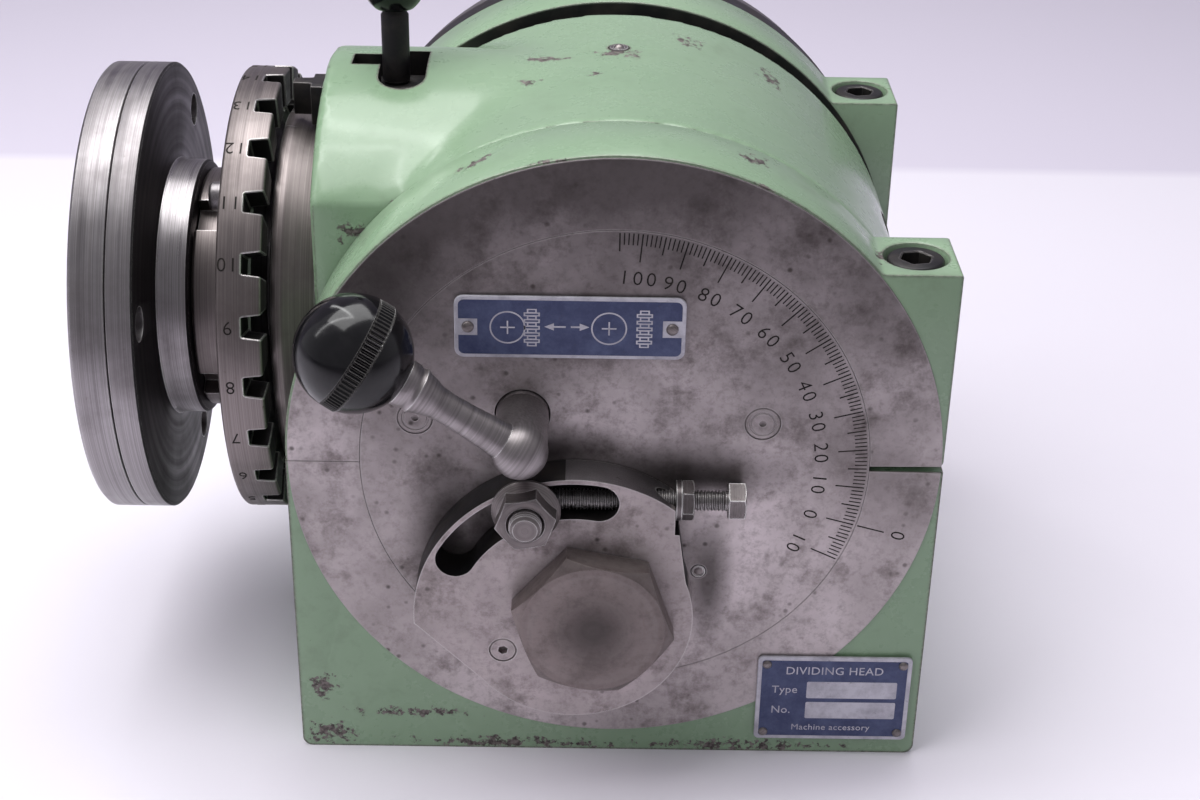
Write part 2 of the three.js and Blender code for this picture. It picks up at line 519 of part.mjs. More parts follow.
// crank side
function crankSide() {
  const { radius, front, back, cavityR } = cover;
  piece('gear_cover', turnedY([[front, cavityR], [front, radius], [back, radius], [back, 24],
    [105.2, 24], [105.2, spigotR], [118.3, spigotR], [118.3, crankR + 0.3], [93.5, crankR + 0.3],
    [93.5, cavityR],
    [front, cavityR]], 0, swivelZ, 36), darkSteel);
  const { front: discFront, back: discBack } = holePlate;
  let disc = turnedY(tube(discFront, discBack, holePlate.radius, spigotR + 0.4), 0, swivelZ, 40);
  for (let k = 0; k < holePlate.holes; k++) {
    const [x, z] = polar(0, swivelZ, holePlate.circleR, 90 + 360 * k / holePlate.holes);
    disc = disc.subtract(turnedY(rod(100, 120, holePlate.holeR), x, z, 6));
  }
  piece('hole_plate', disc, steel);
  sectorArm('sector_arm_left', 112.9, 102);
  sectorArm('sector_arm_right', 115.1, 50);
  const shaft = [[66.5, 0], [66.5, crankR], [127, crankR], [127, 5], [137, 5], [137, 0]];
  piece('crank_shaft', turnedY(shaft, 0, swivelZ, 16), steel);
  pairGear('crank_gear', 0, swivelZ, crankR + 0.3, lineOfCentres());
  pairGear('worm_gear', worm.x, worm.z, worm.shaftR + 0.3, lineOfCentres() + 180 + 180 / pairTeeth);
  const arm = outline([...fan(0, swivelZ, 13, 175, 365, 12),
    ...fan(0, swivelZ + holePlate.circleR, 10, 10, 170, 10)]);
  piece('crank_arm', prismY(arm, 119, 126).subtract(turnedY(rod(110, 130, crankR + 0.3), 0, swivelZ, 16))
    .subtract(turnedY(rod(110, 130, 6.4), 0, swivelZ + holePlate.circleR, 14)), steel);
  const nut = prismY(hexagon(0, swivelZ, 17, 0), 127.3, 133);
  piece('crank_nut', nut.subtract(turnedY(rod(120, 140, 5.3), 0, swivelZ, 12)), steel);
  const z = swivelZ + holePlate.circleR;
  const handle = [[119, 3.3], [119, 6], [126.3, 6], [126.3, 9], [138, 9], [138, 3.3], [119, 3.3]];
  piece('crank_handle', turnedY(handle, 0, z, 16), steel);
  const pin = [[117.6, 0], [117.6, 1], [118.4, 1.6], [126, 1.6], [126, 3], [156, 3], [156, 0]];
  piece('index_pin', turnedY(pin, 0, z, 10), steel);
  const pinKnob = [[148.5, 3.3], [148.5, 8], [152, 10.5], [166, 12.5], [171, 10.5], [172.5, 6],
    [172.5, 0],
    [156.3, 0], [156.3, 3.3], [148.5, 3.3]];
  piece('index_pin_knob', turnedY(pinKnob, 0, z, 18), phenolic);
}

const lineOfCentres = () => Math.atan2(worm.z - swivelZ, worm.x) * 180 / Math.PI;

function sectorArm(name, y, angle) {
  const blade = outline([polar(0, swivelZ, 17, angle - 22), polar(0, swivelZ, 82, angle - 2.2),
    polar(0, swivelZ, 84, angle), polar(0, swivelZ, 17, angle + 12)]);
  const arm = turnedY(rod(y, y + 2, 21), 0, swivelZ, 20).add(prismY(blade, y, y + 2));
  piece(name, arm.subtract(turnedY(rod(100, 130, spigotR + 0.5), 0, swivelZ, 20)), steel);
}

function wormBearings() {
  for (const [name, from, to] of [['front', -80, -55], ['rear', 55, 80]]) {
    const bush = turnedY(tube(from, to, worm.bushR, worm.shaftR + 0.3), worm.x, worm.z, 20);
    piece(`${name}_worm_bush`, bush, bronze);
  }
}

base();
ringCap('front_ring_cap', -faceY);
ringCap('rear_ring_cap', ringInnerY);
baseFasteners();
piece('data_plate', prismY(roundedPlate(67, 21, 46, 30, 1.5), -faceY - 1.3, -faceY - 0.3, 3), plateBlue);
swivelBody();
swivelFittings();
spindleGroup();
wormShaft();
wormBearings();
throwOut();
lockLever();
indexPlunger();
crankSide();

export default head;
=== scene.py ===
import math

import bpy
from mathutils import Matrix, Quaternion, Vector


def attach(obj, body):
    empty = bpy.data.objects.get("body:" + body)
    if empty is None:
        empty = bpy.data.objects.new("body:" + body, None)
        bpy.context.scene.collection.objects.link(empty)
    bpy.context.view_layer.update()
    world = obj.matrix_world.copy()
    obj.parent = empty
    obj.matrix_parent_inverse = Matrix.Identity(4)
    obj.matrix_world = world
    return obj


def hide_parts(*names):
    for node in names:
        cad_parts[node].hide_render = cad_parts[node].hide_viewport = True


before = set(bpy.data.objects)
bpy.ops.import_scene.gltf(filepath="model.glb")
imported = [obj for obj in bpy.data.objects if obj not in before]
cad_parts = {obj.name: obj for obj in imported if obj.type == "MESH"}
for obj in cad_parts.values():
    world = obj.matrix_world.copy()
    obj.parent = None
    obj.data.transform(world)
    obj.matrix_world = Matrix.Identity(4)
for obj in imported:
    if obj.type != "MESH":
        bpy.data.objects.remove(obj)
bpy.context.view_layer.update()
mm = 0.001
swivelHeight = 100
spindleHeight = 116
frontFace = -82
turnTo = {
    "X": Matrix(((0, 0, 1, 0), (1, 0, 0, 0), (0, 1, 0, 0), (0, 0, 0, 1))),
    "Y": Matrix(((1, 0, 0, 0), (0, 0, -1, 0), (0, 1, 0, 0), (0, 0, 0, 1))),
    "Z": Matrix.Identity(4),
}


# ---- small workshop of modelling moves ----
def clearSelection():
    if bpy.context.object and bpy.context.object.mode != "OBJECT":
        bpy.ops.object.mode_set(mode="OBJECT")
    bpy.ops.object.select_all(action="DESELECT")


def pick(piece):
    clearSelection()
    piece.select_set(True)
    bpy.context.view_layer.objects.active = piece


def settle(piece, matrix):  # puts a piece in place and keeps that place in its mesh
    pick(piece)
    piece.matrix_world = matrix
    bpy.ops.object.transform_apply(location=True, rotation=True, scale=True)
    return piece


def turned(name, profile, axis="Y", at=(0, 0, 0), segments=96, toward=None):
    # profile is [place along the axis, radius]; it closes on the axis, or on itself when first and last agree
    side = -1 if axis == "Y" and toward is None else 1
    ring = [(side * along * mm, max(r, 0.0001) * mm) for along, r in profile if r > 0]
    clearSelection()
    start, radius = ring[0]
    bpy.ops.mesh.primitive_circle_add(vertices=segments, radius=radius, location=(0, 0, 0))
    piece = bpy.context.object
    piece.name = name
    bpy.ops.object.mode_set(mode="EDIT")
    bpy.ops.mesh.select_all(action="SELECT")
    bpy.ops.transform.translate(value=(0, 0, start))
    for (z0, r0), (z1, r1) in zip(ring, ring[1:]):
        bpy.ops.mesh.extrude_region_move(TRANSFORM_OT_translate={"value": (0, 0, z1 - z0)})
        if abs(r1 - r0) > 1e-9:
            bpy.ops.transform.resize(value=(r1 / r0, r1 / r0, 1), center_override=(0, 0, z1))
    if profile[0] != profile[-1] and profile[-1][1] == 0 and profile[-1][0] != profile[-2][0]:
        bpy.ops.mesh.extrude_region_move(
            TRANSFORM_OT_translate={"value": (0, 0, side * (profile[-1][0] - profile[-2][0]) * mm)})
        bpy.ops.mesh.merge(type="CENTER")
    bpy.ops.mesh.select_all(action="SELECT")
    bpy.ops.mesh.remove_doubles(threshold=1e-6)
    bpy.ops.mesh.fill_holes(sides=0)
    bpy.ops.mesh.select_all(action="SELECT")
    bpy.ops.mesh.normals_make_consistent(inside=False)
    bpy.ops.object.mode_set(mode="OBJECT")
    spot = Matrix.Translation(Vector(at) * mm)
    if toward is not None:
        spin = Vector((0, 0, 1)).rotation_difference(Vector(toward) - Vector(at))
        return settle(piece, spot @ spin.to_matrix().to_4x4())
    return settle(piece, spot @ turnTo[axis])


def slab(name, outline, low, high, axis="Y"):
    # outline is (x, z) for axis Y, (y, z) for axis X and (x, y) for axis Z
    clearSelection()
    bpy.ops.mesh.primitive_circle_add(vertices=len(outline), radius=mm, fill_type="NGON")
    piece = bpy.context.object
    piece.name = name
    base = -high if axis == "Y" else low
    for vertex, (u, v) in zip(piece.data.vertices, outline):
        vertex.co = (u * mm, v * mm, base * mm)
    bpy.ops.object.mode_set(mode="EDIT")
    bpy.ops.mesh.select_all(action="SELECT")
    bpy.ops.mesh.remove_doubles(threshold=1e-6)
    bpy.ops.mesh.extrude_region_move(TRANSFORM_OT_translate={"value": (0, 0, (high - low) * mm)})
    bpy.ops.mesh.select_all(action="SELECT")
    bpy.ops.mesh.fill_holes(sides=0)
    bpy.ops.mesh.normals_make_consistent(inside=False)
    bpy.ops.object.mode_set(mode="OBJECT")
    return settle(piece, turnTo[axis])


def block(name, low, high):
    (x0, y0, z0), (x1, y1, z1) = low, high
    return slab(name, [(x0, y0), (x1, y0), (x1, y1), (x0, y1)], z0, z1, "Z")


def carve(piece, *tools, operation="DIFFERENCE"):
    for tool in tools:
        pick(piece)
        change = piece.modifiers.new("carve", "BOOLEAN")
        change.operation = operation
        change.solver = "EXACT"
        change.object = tool
        bpy.ops.object.modifier_apply(modifier="carve")
        bpy.data.objects.remove(tool)
    return piece


def soften(piece, width, angle=32, segments=2):
    pick(piece)
    bevel = piece.modifiers.new("soften", "BEVEL")
    bevel.width = width * mm
    bevel.segments = segments
    bevel.limit_method = "ANGLE"
    bevel.angle_limit = math.radians(angle)
    bevel.use_clamp_overlap = True
    bevel.miter_outer = "MITER_ARC"
    bpy.ops.object.modifier_apply(modifier="soften")
    return piece


def fit(piece, body, finish, nodes=(), smooth=30):
    pick(piece)
    bpy.ops.object.shade_smooth_by_angle(angle=math.radians(smooth))
    piece.data.materials.clear()
    for each in finish if isinstance(finish, (list, tuple)) else [finish]:
        piece.data.materials.append(each)
    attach(piece, body)
    if nodes:
        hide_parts(*nodes)
    return piece


def copyOf(piece, name, matrix):
    twin = piece.copy()
    twin.data = piece.data.copy()
    twin.name = name
    bpy.context.scene.collection.objects.link(twin)
    return settle(twin, matrix)


def unite(name, members):
    pick(members[0])
    for member in members[1:]:
        member.select_set(True)
    if len(members) > 1:
        bpy.ops.object.join()
    members[0].name = name
    return members[0]


def polar(cx, cz, r, degrees):
    return (cx + r * math.cos(math.radians(degrees)), cz + r * math.sin(math.radians(degrees)))


def arc(cx, cz, r, start, end, steps):
    return [polar(cx, cz, r, start + (end - start) * i / steps) for i in range(steps + 1)]


def roundedBox(cx, cz, width, height, corner, steps=5):
    w = width / 2 - corner
    h = height / 2 - corner
    points = []
    for sx, sz, start in ((1, -1, -90), (1, 1, 0), (-1, 1, 90), (-1, -1, 180)):
        points += arc(cx + sx * w, cz + sz * h, corner, start, start + 90, steps)
    return points


def hexagon(cx, cz, acrossFlats, lean=0):
    return [polar(cx, cz, acrossFlats / math.sqrt(3), lean + 60 * k) for k in range(6)]


def tube(a, b, outer, inner):
    return [[a, inner], [a, outer], [b, outer], [b, inner], [a, inner]]


def rod(a, b, r):
    return [[a, 0], [a, r], [b, r], [b, 0]]


def paintFaces(piece, index, test):  # gives the faces that pass the test another finish
    for face in piece.data.polygons:
        if test(face.center / mm, face.normal):
            face.material_index = index


# ---- shading helpers and shared groups ----
def put(tree, kind, inputs=None, **settings):
    node = tree.nodes.new(kind)
    for key, value in settings.items():
        setattr(node, key, value)
    for key, value in (inputs or {}).items():
        if isinstance(value, bpy.types.NodeSocket):
            tree.links.new(value, node.inputs[key])
        else:
            node.inputs[key].default_value = value
    return node


def mathNode(tree, operation, a, b=None, clamp=False):
    inputs = {0: a} if b is None else {0: a, 1: b}
    return put(tree, "ShaderNodeMath", inputs, operation=operation, use_clamp=clamp).outputs[0]


def blendColour(tree, share, a, b, mode="MIX"):
    node = put(tree, "ShaderNodeMix", {0: share, 6: a, 7: b}, data_type="RGBA", blend_type=mode)
    return node.outputs[2]


def stretch(tree, value, low, high, toLow=0.0, toHigh=1.0):
    inputs = {"Value": value, "From Min": low, "From Max": high, "To Min": toLow, "To Max": toHigh}
    return put(tree, "ShaderNodeMapRange", inputs, clamp=True).outputs[0]


def cloud(tree, vector, scale, detail=4.0, roughness=0.55):
    inputs = {"Vector": vector, "Scale": scale, "Detail": detail, "Roughness": roughness}
    return put(tree, "ShaderNodeTexNoise", inputs).outputs["Fac"]


def newGroup(name, inputs, outputs):
    group = bpy.data.node_groups.new(name, "ShaderNodeTree")
    for label, kind, value in inputs:
        socket = group.interface.new_socket(label, in_out="INPUT", socket_type=kind)
        if value is not None:
            socket.default_value = value
    for label, kind in outputs:
        group.interface.new_socket(label, in_out="OUTPUT", socket_type=kind)
    return group, group.nodes.new("NodeGroupInput"), group.nodes.new("NodeGroupOutput")


def buildEdgeWear():
    group, given, made = newGroup(
        "edgeWear",
        [("Vector", "NodeSocketVector", None), ("Width", "NodeSocketFloat", 0.001),
         ("Breakup", "NodeSocketFloat", 300.0), ("Amount", "NodeSocketFloat", 0.5)],
        [("Mask", "NodeSocketFloat")])
    rounded = put(group, "ShaderNodeBevel", {"Radius": given.outputs["Width"]}, samples=6)
    facing = put(group, "ShaderNodeNewGeometry")
    agree = put(group, "ShaderNodeVectorMath", {0: rounded.outputs[0], 1: facing.outputs["Normal"]},
                operation="DOT_PRODUCT").outputs["Value"]
    edge = stretch(group, agree, 0.997, 0.93)
    noise = cloud(group, given.outputs["Vector"], given.outputs["Breakup"], 5.0, 0.65)
    threshold = mathNode(group, "SUBTRACT", 1.0, given.outputs["Amount"])
    worn = mathNode(group, "SUBTRACT", mathNode(group, "ADD", noise, mathNode(group, "MULTIPLY", edge, 0.5)),
                    mathNode(group, "ADD", threshold, 0.25))
    mask = mathNode(group, "MULTIPLY", stretch(group, worn, 0.0, 0.06), edge, clamp=True)
    group.links.new(mask, made.inputs["Mask"])
    return group


def buildLatheLines():
    group, given, made = newGroup(
        "latheLines",
        [("Vector", "NodeSocketVector", None), ("Centre", "NodeSocketVector", (0, 0, 0)),
         ("Axis", "NodeSocketVector", (0, 1, 0)), ("Fineness", "NodeSocketFloat", 3000.0)],
        [("Lines", "NodeSocketFloat"), ("Bands", "NodeSocketFloat"), ("Radius", "NodeSocketFloat")])
    offset = put(group, "ShaderNodeVectorMath", {0: given.outputs["Vector"], 1: given.outputs["Centre"]},
                 operation="SUBTRACT").outputs[0]
    along = put(group, "ShaderNodeVectorMath", {0: offset, 1: given.outputs["Axis"]},
                operation="DOT_PRODUCT").outputs["Value"]
    onAxis = put(group, "ShaderNodeVectorMath", {0: given.outputs["Axis"], "Scale": along},
                 operation="SCALE").outputs[0]
    outward = put(group, "ShaderNodeVectorMath", {0: offset, 1: onAxis}, operation="SUBTRACT").outputs[0]
    radius = put(group, "ShaderNodeVectorMath", {0: outward}, operation="LENGTH").outputs["Value"]
    place = put(group, "ShaderNodeCombineXYZ", {0: radius, 1: along}).outputs[0]
    fine = put(group, "ShaderNodeTexNoise",
               {"Vector": place, "Scale": given.outputs["Fineness"], "Detail": 2.0}).outputs["Fac"]
    wide = put(group, "ShaderNodeTexNoise",
               {"Vector": place, "Scale": mathNode(group, "MULTIPLY", given.outputs["Fineness"], 0.12),
                "Detail": 3.0}).outputs["Fac"]
    group.links.new(fine, made.inputs["Lines"])
    group.links.new(wide, made.inputs["Bands"])
    group.links.new(radius, made.inputs["Radius"])
    return group


def buildStains():
    group, given, made = newGroup(
        "oilStains",
        [("Vector", "NodeSocketVector", None), ("Scale", "NodeSocketFloat", 25.0)],
        [("Cloud", "NodeSocketFloat"), ("Specks", "NodeSocketFloat"), ("Grain", "NodeSocketFloat")])
    big = cloud(group, given.outputs["Vector"], given.outputs["Scale"], 6.0, 0.6)
    cells = put(group, "ShaderNodeTexVoronoi", {"Vector": given.outputs["Vector"], "Scale": 215.0})
    gate = cloud(group, given.outputs["Vector"], 40.0, 2.0)
    spot = mathNode(group, "MULTIPLY", stretch(group, cells.outputs["Distance"], 0.2, 0.08),
                    stretch(group, gate, 0.50, 0.62), clamp=True)
    grain = cloud(group, given.outputs["Vector"], 1500.0, 3.0, 0.7)
    group.links.new(big, made.inputs["Cloud"])
    group.links.new(spot, made.inputs["Specks"])
    group.links.new(grain, made.inputs["Grain"])
    return group


edgeWear = buildEdgeWear()
latheLines = buildLatheLines()
oilStains = buildStains()


def use(tree, group, inputs):
    node = tree.nodes.new("ShaderNodeGroup")
    node.node_tree = group
    for key, value in inputs.items():
        if isinstance(value, bpy.types.NodeSocket):
            tree.links.new(value, node.inputs[key])
        else:
            node.inputs[key].default_value = value
    return node


def newFinish(name, **plain):
    finish = bpy.data.materials.new(name)
    finish.use_nodes = True
    tree = finish.node_tree
    shader = tree.nodes["Principled BSDF"]
    for key, value in plain.items():
        shader.inputs[key].default_value = value
    place = put(tree, "ShaderNodeTexCoord").outputs["Object"]
    return finish, tree, shader, place


def raise_(tree, shader, height, strength, distance):
    bump = put(tree, "ShaderNodeBump", {"Height": height, "Strength": strength, "Distance": distance})
    tree.links.new(bump.outputs[0], shader.inputs["Normal"])


def tone(r, g, b):
    return (r, g, b, 1.0)


# marks: ([x, y, z] of the middle, [reach along x, y, z]) of each knocked or chipped place, and of each spot of painted
# shadow
def nearMarks(tree, place, marks):
    total = None
    for middle, reach in marks:
        offset = put(tree, "ShaderNodeVectorMath", {0: place, 1: [c * mm for c in middle]},
                     operation="SUBTRACT").outputs[0]
        scaled = put(tree, "ShaderNodeVectorMath", {0: offset, 1: [1 / (c * mm) for c in reach]},
                     operation="MULTIPLY").outputs[0]
        distance = put(tree, "ShaderNodeVectorMath", {0: scaled}, operation="LENGTH").outputs["Value"]
        near = stretch(tree, distance, 1.0, 0.2)
        total = near if total is None else mathNode(tree, "MAXIMUM", total, near)
    return total


greenPaint = {
    "colour": tone(0.262, 0.372, 0.250),
    "deep": tone(0.205, 0.318, 0.196),
    "primer": tone(0.075, 0.062, 0.060),
    "marks": [
        ([0, 4, 193], [16, 9, 5]), ([-22, 2, 191], [13, 5, 4]), ([-8, -14, 192], [5, 4, 4]),
        ([-26, -16, 190], [7, 4, 4]), ([22, 24, 190], [12, 10, 5]), ([47, 20, 180], [8, 12, 8]),
        ([-40, -66, 184], [24, 5, 7]), ([-74, -55, 158], [10, 2.2, 9]), ([-60, -55, 170], [10, 2.2, 8]),
        ([-87, -50, 172], [3.2, 9, 8]), ([-87, -24, 188], [3.6, 16, 4]), ([-87, 14, 190], [4.5, 22, 4]),
        ([-58, -81.6, 166], [12, 3, 7]), ([-20, -81.6, 191], [22, 3, 2.4]), ([36, -81.6, 184], [16, 3, 4]),
        ([-86, -81.6, 22], [8, 5, 9]), ([-60, -81.6, 13], [34, 5, 3.4]), ([-84, -81.6, 5], [16, 5, 8]),
        ([-30, -81.6, 2], [60, 6, 4]), ([40, -81.6, 2], [60, 6, 4]), ([93, -70, 40], [3, 16, 40]),
        ([38, -64, 186], [14, 9, 6]), ([76, -70, 160], [16, 10, 3]),
    ],
}


def makePaint(name, settings, marks):
    finish, tree, shader, place = newFinish(name, **{"Specular IOR Level": 0.45, "Coat Roughness": 0.1})
    broad = cloud(tree, place, 9.0, 5.0)
    colour = blendColour(tree, stretch(tree, broad, 0.35, 0.7), settings["colour"], settings["deep"])
    dirt = cloud(tree, place, 55.0, 8.0, 0.7)
    colour = blendColour(tree, stretch(tree, dirt, 0.56, 0.8, 0.0, 0.35), colour, tone(0.10, 0.13, 0.08))
    worn = use(tree, edgeWear, {"Vector": place, "Width": 0.0014, "Breakup": 260.0, "Amount": 0.52}).outputs[0]
    ragged = cloud(tree, place, 330.0, 8.0, 0.72)
    chips = mathNode(tree, "ADD", ragged, mathNode(tree, "MULTIPLY", nearMarks(tree, place, marks), 0.26))
    chips = stretch(tree, chips, 0.715, 0.74)
    bare = mathNode(tree, "MAXIMUM", worn, chips)
    metal = blendColour(tree, stretch(tree, cloud(tree, place, 700.0), 0.4, 0.65), settings["primer"],
                        tone(0.24, 0.21, 0.20))
    tree.links.new(blendColour(tree, bare, colour, metal), shader.inputs["Base Color"])
    gloss = stretch(tree, dirt, 0.3, 0.8, 0.2, 0.42)
    rough = put(tree, "ShaderNodeMix", {0: bare, 2: gloss, 3: 0.62}).outputs[0]
    tree.links.new(rough, shader.inputs["Roughness"])
    tree.links.new(mathNode(tree, "SUBTRACT", 0.28, mathNode(tree, "MULTIPLY", bare, 0.28)), shader.inputs["Coat Weight"])
    tree.links.new(mathNode(tree, "MULTIPLY", bare, 0.5), shader.inputs["Metallic"])
    peel = mathNode(tree, "MULTIPLY", cloud(tree, place, 60.0, 2.0), 0.35)
    fine = mathNode(tree, "MULTIPLY", cloud(tree, place, 420.0, 2.0), 0.12)
    height = mathNode(tree, "SUBTRACT", mathNode(tree, "ADD", peel, fine), bare)
    raise_(tree, shader, height, 0.35, 0.0004)
    return finish


# the graduated face is painted darker towards its top, into the deep colour: painted shade
ironFace = {"colour": tone(0.64, 0.575, 0.585), "dark": tone(0.27, 0.235, 0.235), "rough": 0.47,
            "paintedTopShade": (0.08, 0.18, 0.88), "deep": tone(0.060, 0.050, 0.050), "wear": 0.42, "edge": tone(0.40, 0.37, 0.37)}


def makeIron(name, settings, centre, axis=(0, 1, 0), ringDepth=0.25, shadeSpot=None):
    finish, tree, shader, place = newFinish(name, **{"Specular IOR Level": 0.5})
    stains = use(tree, oilStains, {"Vector": place, "Scale": 22.0})
    rings = use(tree, latheLines, {"Vector": place, "Centre": [c * mm for c in centre], "Axis": axis,
                                   "Fineness": 2600.0})
    colour = blendColour(tree, stretch(tree, stains.outputs["Cloud"], 0.36, 0.7, 0.0, 0.75), settings["colour"],
                         settings["dark"])
    mottle = cloud(tree, place, 330.0, 9.0, 0.78)
    colour = blendColour(tree, stretch(tree, mottle, 0.48, 0.66, 0.0, 0.7), colour, settings["dark"])
    colour = blendColour(tree, stretch(tree, rings.outputs["Bands"], 0.35, 0.7, 0.0, 0.22), colour,
                         tone(0.42, 0.39, 0.37))
    smear = cloud(tree, place, 70.0, 8.0, 0.7)
    colour = blendColour(tree, stretch(tree, smear, 0.52, 0.70, 0.0, 0.75), colour, tone(0.13, 0.105, 0.10))
    # painted shade: when given, the iron darkens towards the top of the piece into the deep colour, standing for the
    # dark surroundings it mirrors there
    if "paintedTopShade" in settings:
        low, high, share = settings["paintedTopShade"]
        upward = put(tree, "ShaderNodeSeparateXYZ", {0: place}).outputs[2]
        drift = mathNode(tree, "ADD", upward, stretch(tree, stains.outputs["Cloud"], 0.3, 0.7, -0.02, 0.02))
        colour = blendColour(tree, stretch(tree, drift, low, high, 0.0, share), colour, settings["deep"])
    colour = blendColour(tree, mathNode(tree, "MULTIPLY", stains.outputs["Specks"], 0.75), colour,
                         tone(0.035, 0.026, 0.022))
    # painted shade: the given spots are darkened as if shadowed
    if shadeSpot:
        colour = blendColour(tree, mathNode(tree, "MULTIPLY", nearMarks(tree, place, shadeSpot), 0.84), colour,
                             tone(0.05, 0.042, 0.04))
    worn = use(tree, edgeWear, {"Vector": place, "Width": 0.0007, "Breakup": 350.0,
                                "Amount": settings.get("wear", 0.62)}).outputs[0]
    edge = settings.get("edge", tone(0.60, 0.57, 0.57))
    tree.links.new(blendColour(tree, worn, colour, edge), shader.inputs["Base Color"])
    tree.links.new(stretch(tree, stains.outputs["Cloud"], 0.3, 0.7, 0.85, 0.55), shader.inputs["Metallic"])
    tree.links.new(stretch(tree, smear, 0.3, 0.75, settings["rough"] - 0.08, settings["rough"] + 0.16),
                   shader.inputs["Roughness"])
    height = mathNode(tree, "ADD", mathNode(tree, "MULTIPLY", rings.outputs["Lines"], ringDepth),
                      mathNode(tree, "MULTIPLY", stains.outputs["Grain"], 0.5))
    height = mathNode(tree, "SUBTRACT", height, mathNode(tree, "MULTIPLY", stains.outputs["Specks"], 1.2))
    raise_(tree, shader, height, 0.35, 0.00012)
    return finish


brightSteel = {"colour": tone(0.37, 0.35, 0.36), "dark": tone(0.115, 0.10, 0.102), "rough": 0.27}


def makeSteel(name, settings, centre, axis=(1, 0, 0), fineness=3200.0):
    finish, tree, shader, place = newFinish(name, **{"Specular IOR Level": 0.5})
    rings = use(tree, latheLines, {"Vector": place, "Centre": [c * mm for c in centre], "Axis": axis,
                                   "Fineness": fineness})
    film = cloud(tree, place, 38.0, 7.0, 0.62)
    colour = blendColour(tree, stretch(tree, rings.outputs["Lines"], 0.3, 0.75, 0.0, 0.6), settings["colour"],
                         settings["dark"])
    colour = blendColour(tree, stretch(tree, film, 0.5, 0.74, 0.0, 0.6), colour, settings["dark"])
    specks = cloud(tree, place, 330.0, 6.0, 0.7)
    colour = blendColour(tree, stretch(tree, specks, 0.66, 0.74, 0.0, 0.7), colour, tone(0.09, 0.07, 0.06))
    worn = use(tree, edgeWear, {"Vector": place, "Width": 0.0006, "Breakup": 350.0, "Amount": 0.7}).outputs[0]
    tree.links.new(blendColour(tree, worn, colour, tone(0.74, 0.73, 0.72)), shader.inputs["Base Color"])
    tree.links.new(stretch(tree, film, 0.4, 0.8, 1.0, 0.8), shader.inputs["Metallic"])
    tree.links.new(stretch(tree, mathNode(tree, "ADD", film, rings.outputs["Bands"]), 0.75, 1.3,
                           settings["rough"], settings["rough"] + 0.22), shader.inputs["Roughness"])
    raise_(tree, shader, rings.outputs["Lines"], 0.22, 0.00006)
    return finish


blackedSteel = {"colour": tone(0.022, 0.021, 0.023), "worn": tone(0.30, 0.285, 0.28), "rough": 0.42}


def makeBlacked(name, settings, amount=0.55):
    finish, tree, shader, place = newFinish(name, **{"Specular IOR Level": 0.5})
    film = cloud(tree, place, 90.0, 7.0, 0.65)
    colour = blendColour(tree, stretch(tree, film, 0.45, 0.75, 0.0, 0.7), settings["colour"], tone(0.075, 0.062, 0.055))
    worn = use(tree, edgeWear, {"Vector": place, "Width": 0.0007, "Breakup": 420.0, "Amount": amount}).outputs[0]
    tree.links.new(blendColour(tree, worn, colour, settings["worn"]), shader.inputs["Base Color"])
    tree.links.new(stretch(tree, worn, 0.0, 1.0, 0.55, 0.95), shader.inputs["Metallic"])
    tree.links.new(stretch(tree, film, 0.3, 0.75, settings["rough"] - 0.1, settings["rough"] + 0.2),
                   shader.inputs["Roughness"])
    raise_(tree, shader, cloud(tree, place, 900.0, 3.0), 0.2, 0.0001)
    return finish


def makePhenolic():
    finish, tree, shader, place = newFinish("blackPhenolic", **{"Specular IOR Level": 0.3, "Coat Roughness": 0.05})
    smear = cloud(tree, place, 120.0, 7.0, 0.7)
    colour = blendColour(tree, stretch(tree, smear, 0.5, 0.85), tone(0.004, 0.004, 0.005), tone(0.014, 0.013, 0.015))
    worn = use(tree, edgeWear, {"Vector": place, "Width": 0.0005, "Breakup": 500.0, "Amount": 0.5}).outputs[0]
    tree.links.new(blendColour(tree, worn, colour, tone(0.12, 0.115, 0.11)), shader.inputs["Base Color"])
    tree.links.new(stretch(tree, smear, 0.35, 0.8, 0.1, 0.32), shader.inputs["Roughness"])
    tree.links.new(stretch(tree, smear, 0.4, 0.8, 0.3, 0.1), shader.inputs["Coat Weight"])
    scuffs = put(tree, "ShaderNodeTexNoise", {"Vector": place, "Scale": 260.0, "Detail": 6.0, "Distortion": 1.5})
    raise_(tree, shader, scuffs.outputs["Fac"], 0.08, 0.0002)
    return finish


def makePrint(name, colour, faded, rough):
    finish, tree, shader, place = newFinish(name, **{"Specular IOR Level": 0.5})
    patch = cloud(tree, place, 130.0, 7.0, 0.72)
    base = blendColour(tree, stretch(tree, patch, 0.42, 0.66), colour, faded)
    dirt = cloud(tree, place, 420.0, 6.0, 0.7)
    base = blendColour(tree, stretch(tree, dirt, 0.6, 0.75, 0.0, 0.6), base, tone(0.06, 0.055, 0.06))
    tree.links.new(base, shader.inputs["Base Color"])
    tree.links.new(stretch(tree, patch, 0.3, 0.7, rough, rough + 0.2), shader.inputs["Roughness"])
    tree.links.new(stretch(tree, patch, 0.4, 0.7, 0.15, 0.45), shader.inputs["Metallic"])
    raise_(tree, shader, dirt, 0.12, 0.0001)
    return finish


def makeBronze():
    finish, tree, shader, place = newFinish("turnedBronze")
    film = cloud(tree, place, 60.0, 6.0)
    base = blendColour(tree, stretch(tree, film, 0.4, 0.7), tone(0.56, 0.36, 0.15), tone(0.24, 0.14, 0.06))
    tree.links.new(base, shader.inputs["Base Color"])
    tree.links.new(stretch(tree, film, 0.3, 0.7, 0.28, 0.5), shader.inputs["Roughness"])
    tree.links.new(stretch(tree, film, 0.3, 0.7, 1.0, 0.85), shader.inputs["Metallic"])
    raise_(tree, shader, cloud(tree, place, 1200.0), 0.15, 0.0001)
    return finish
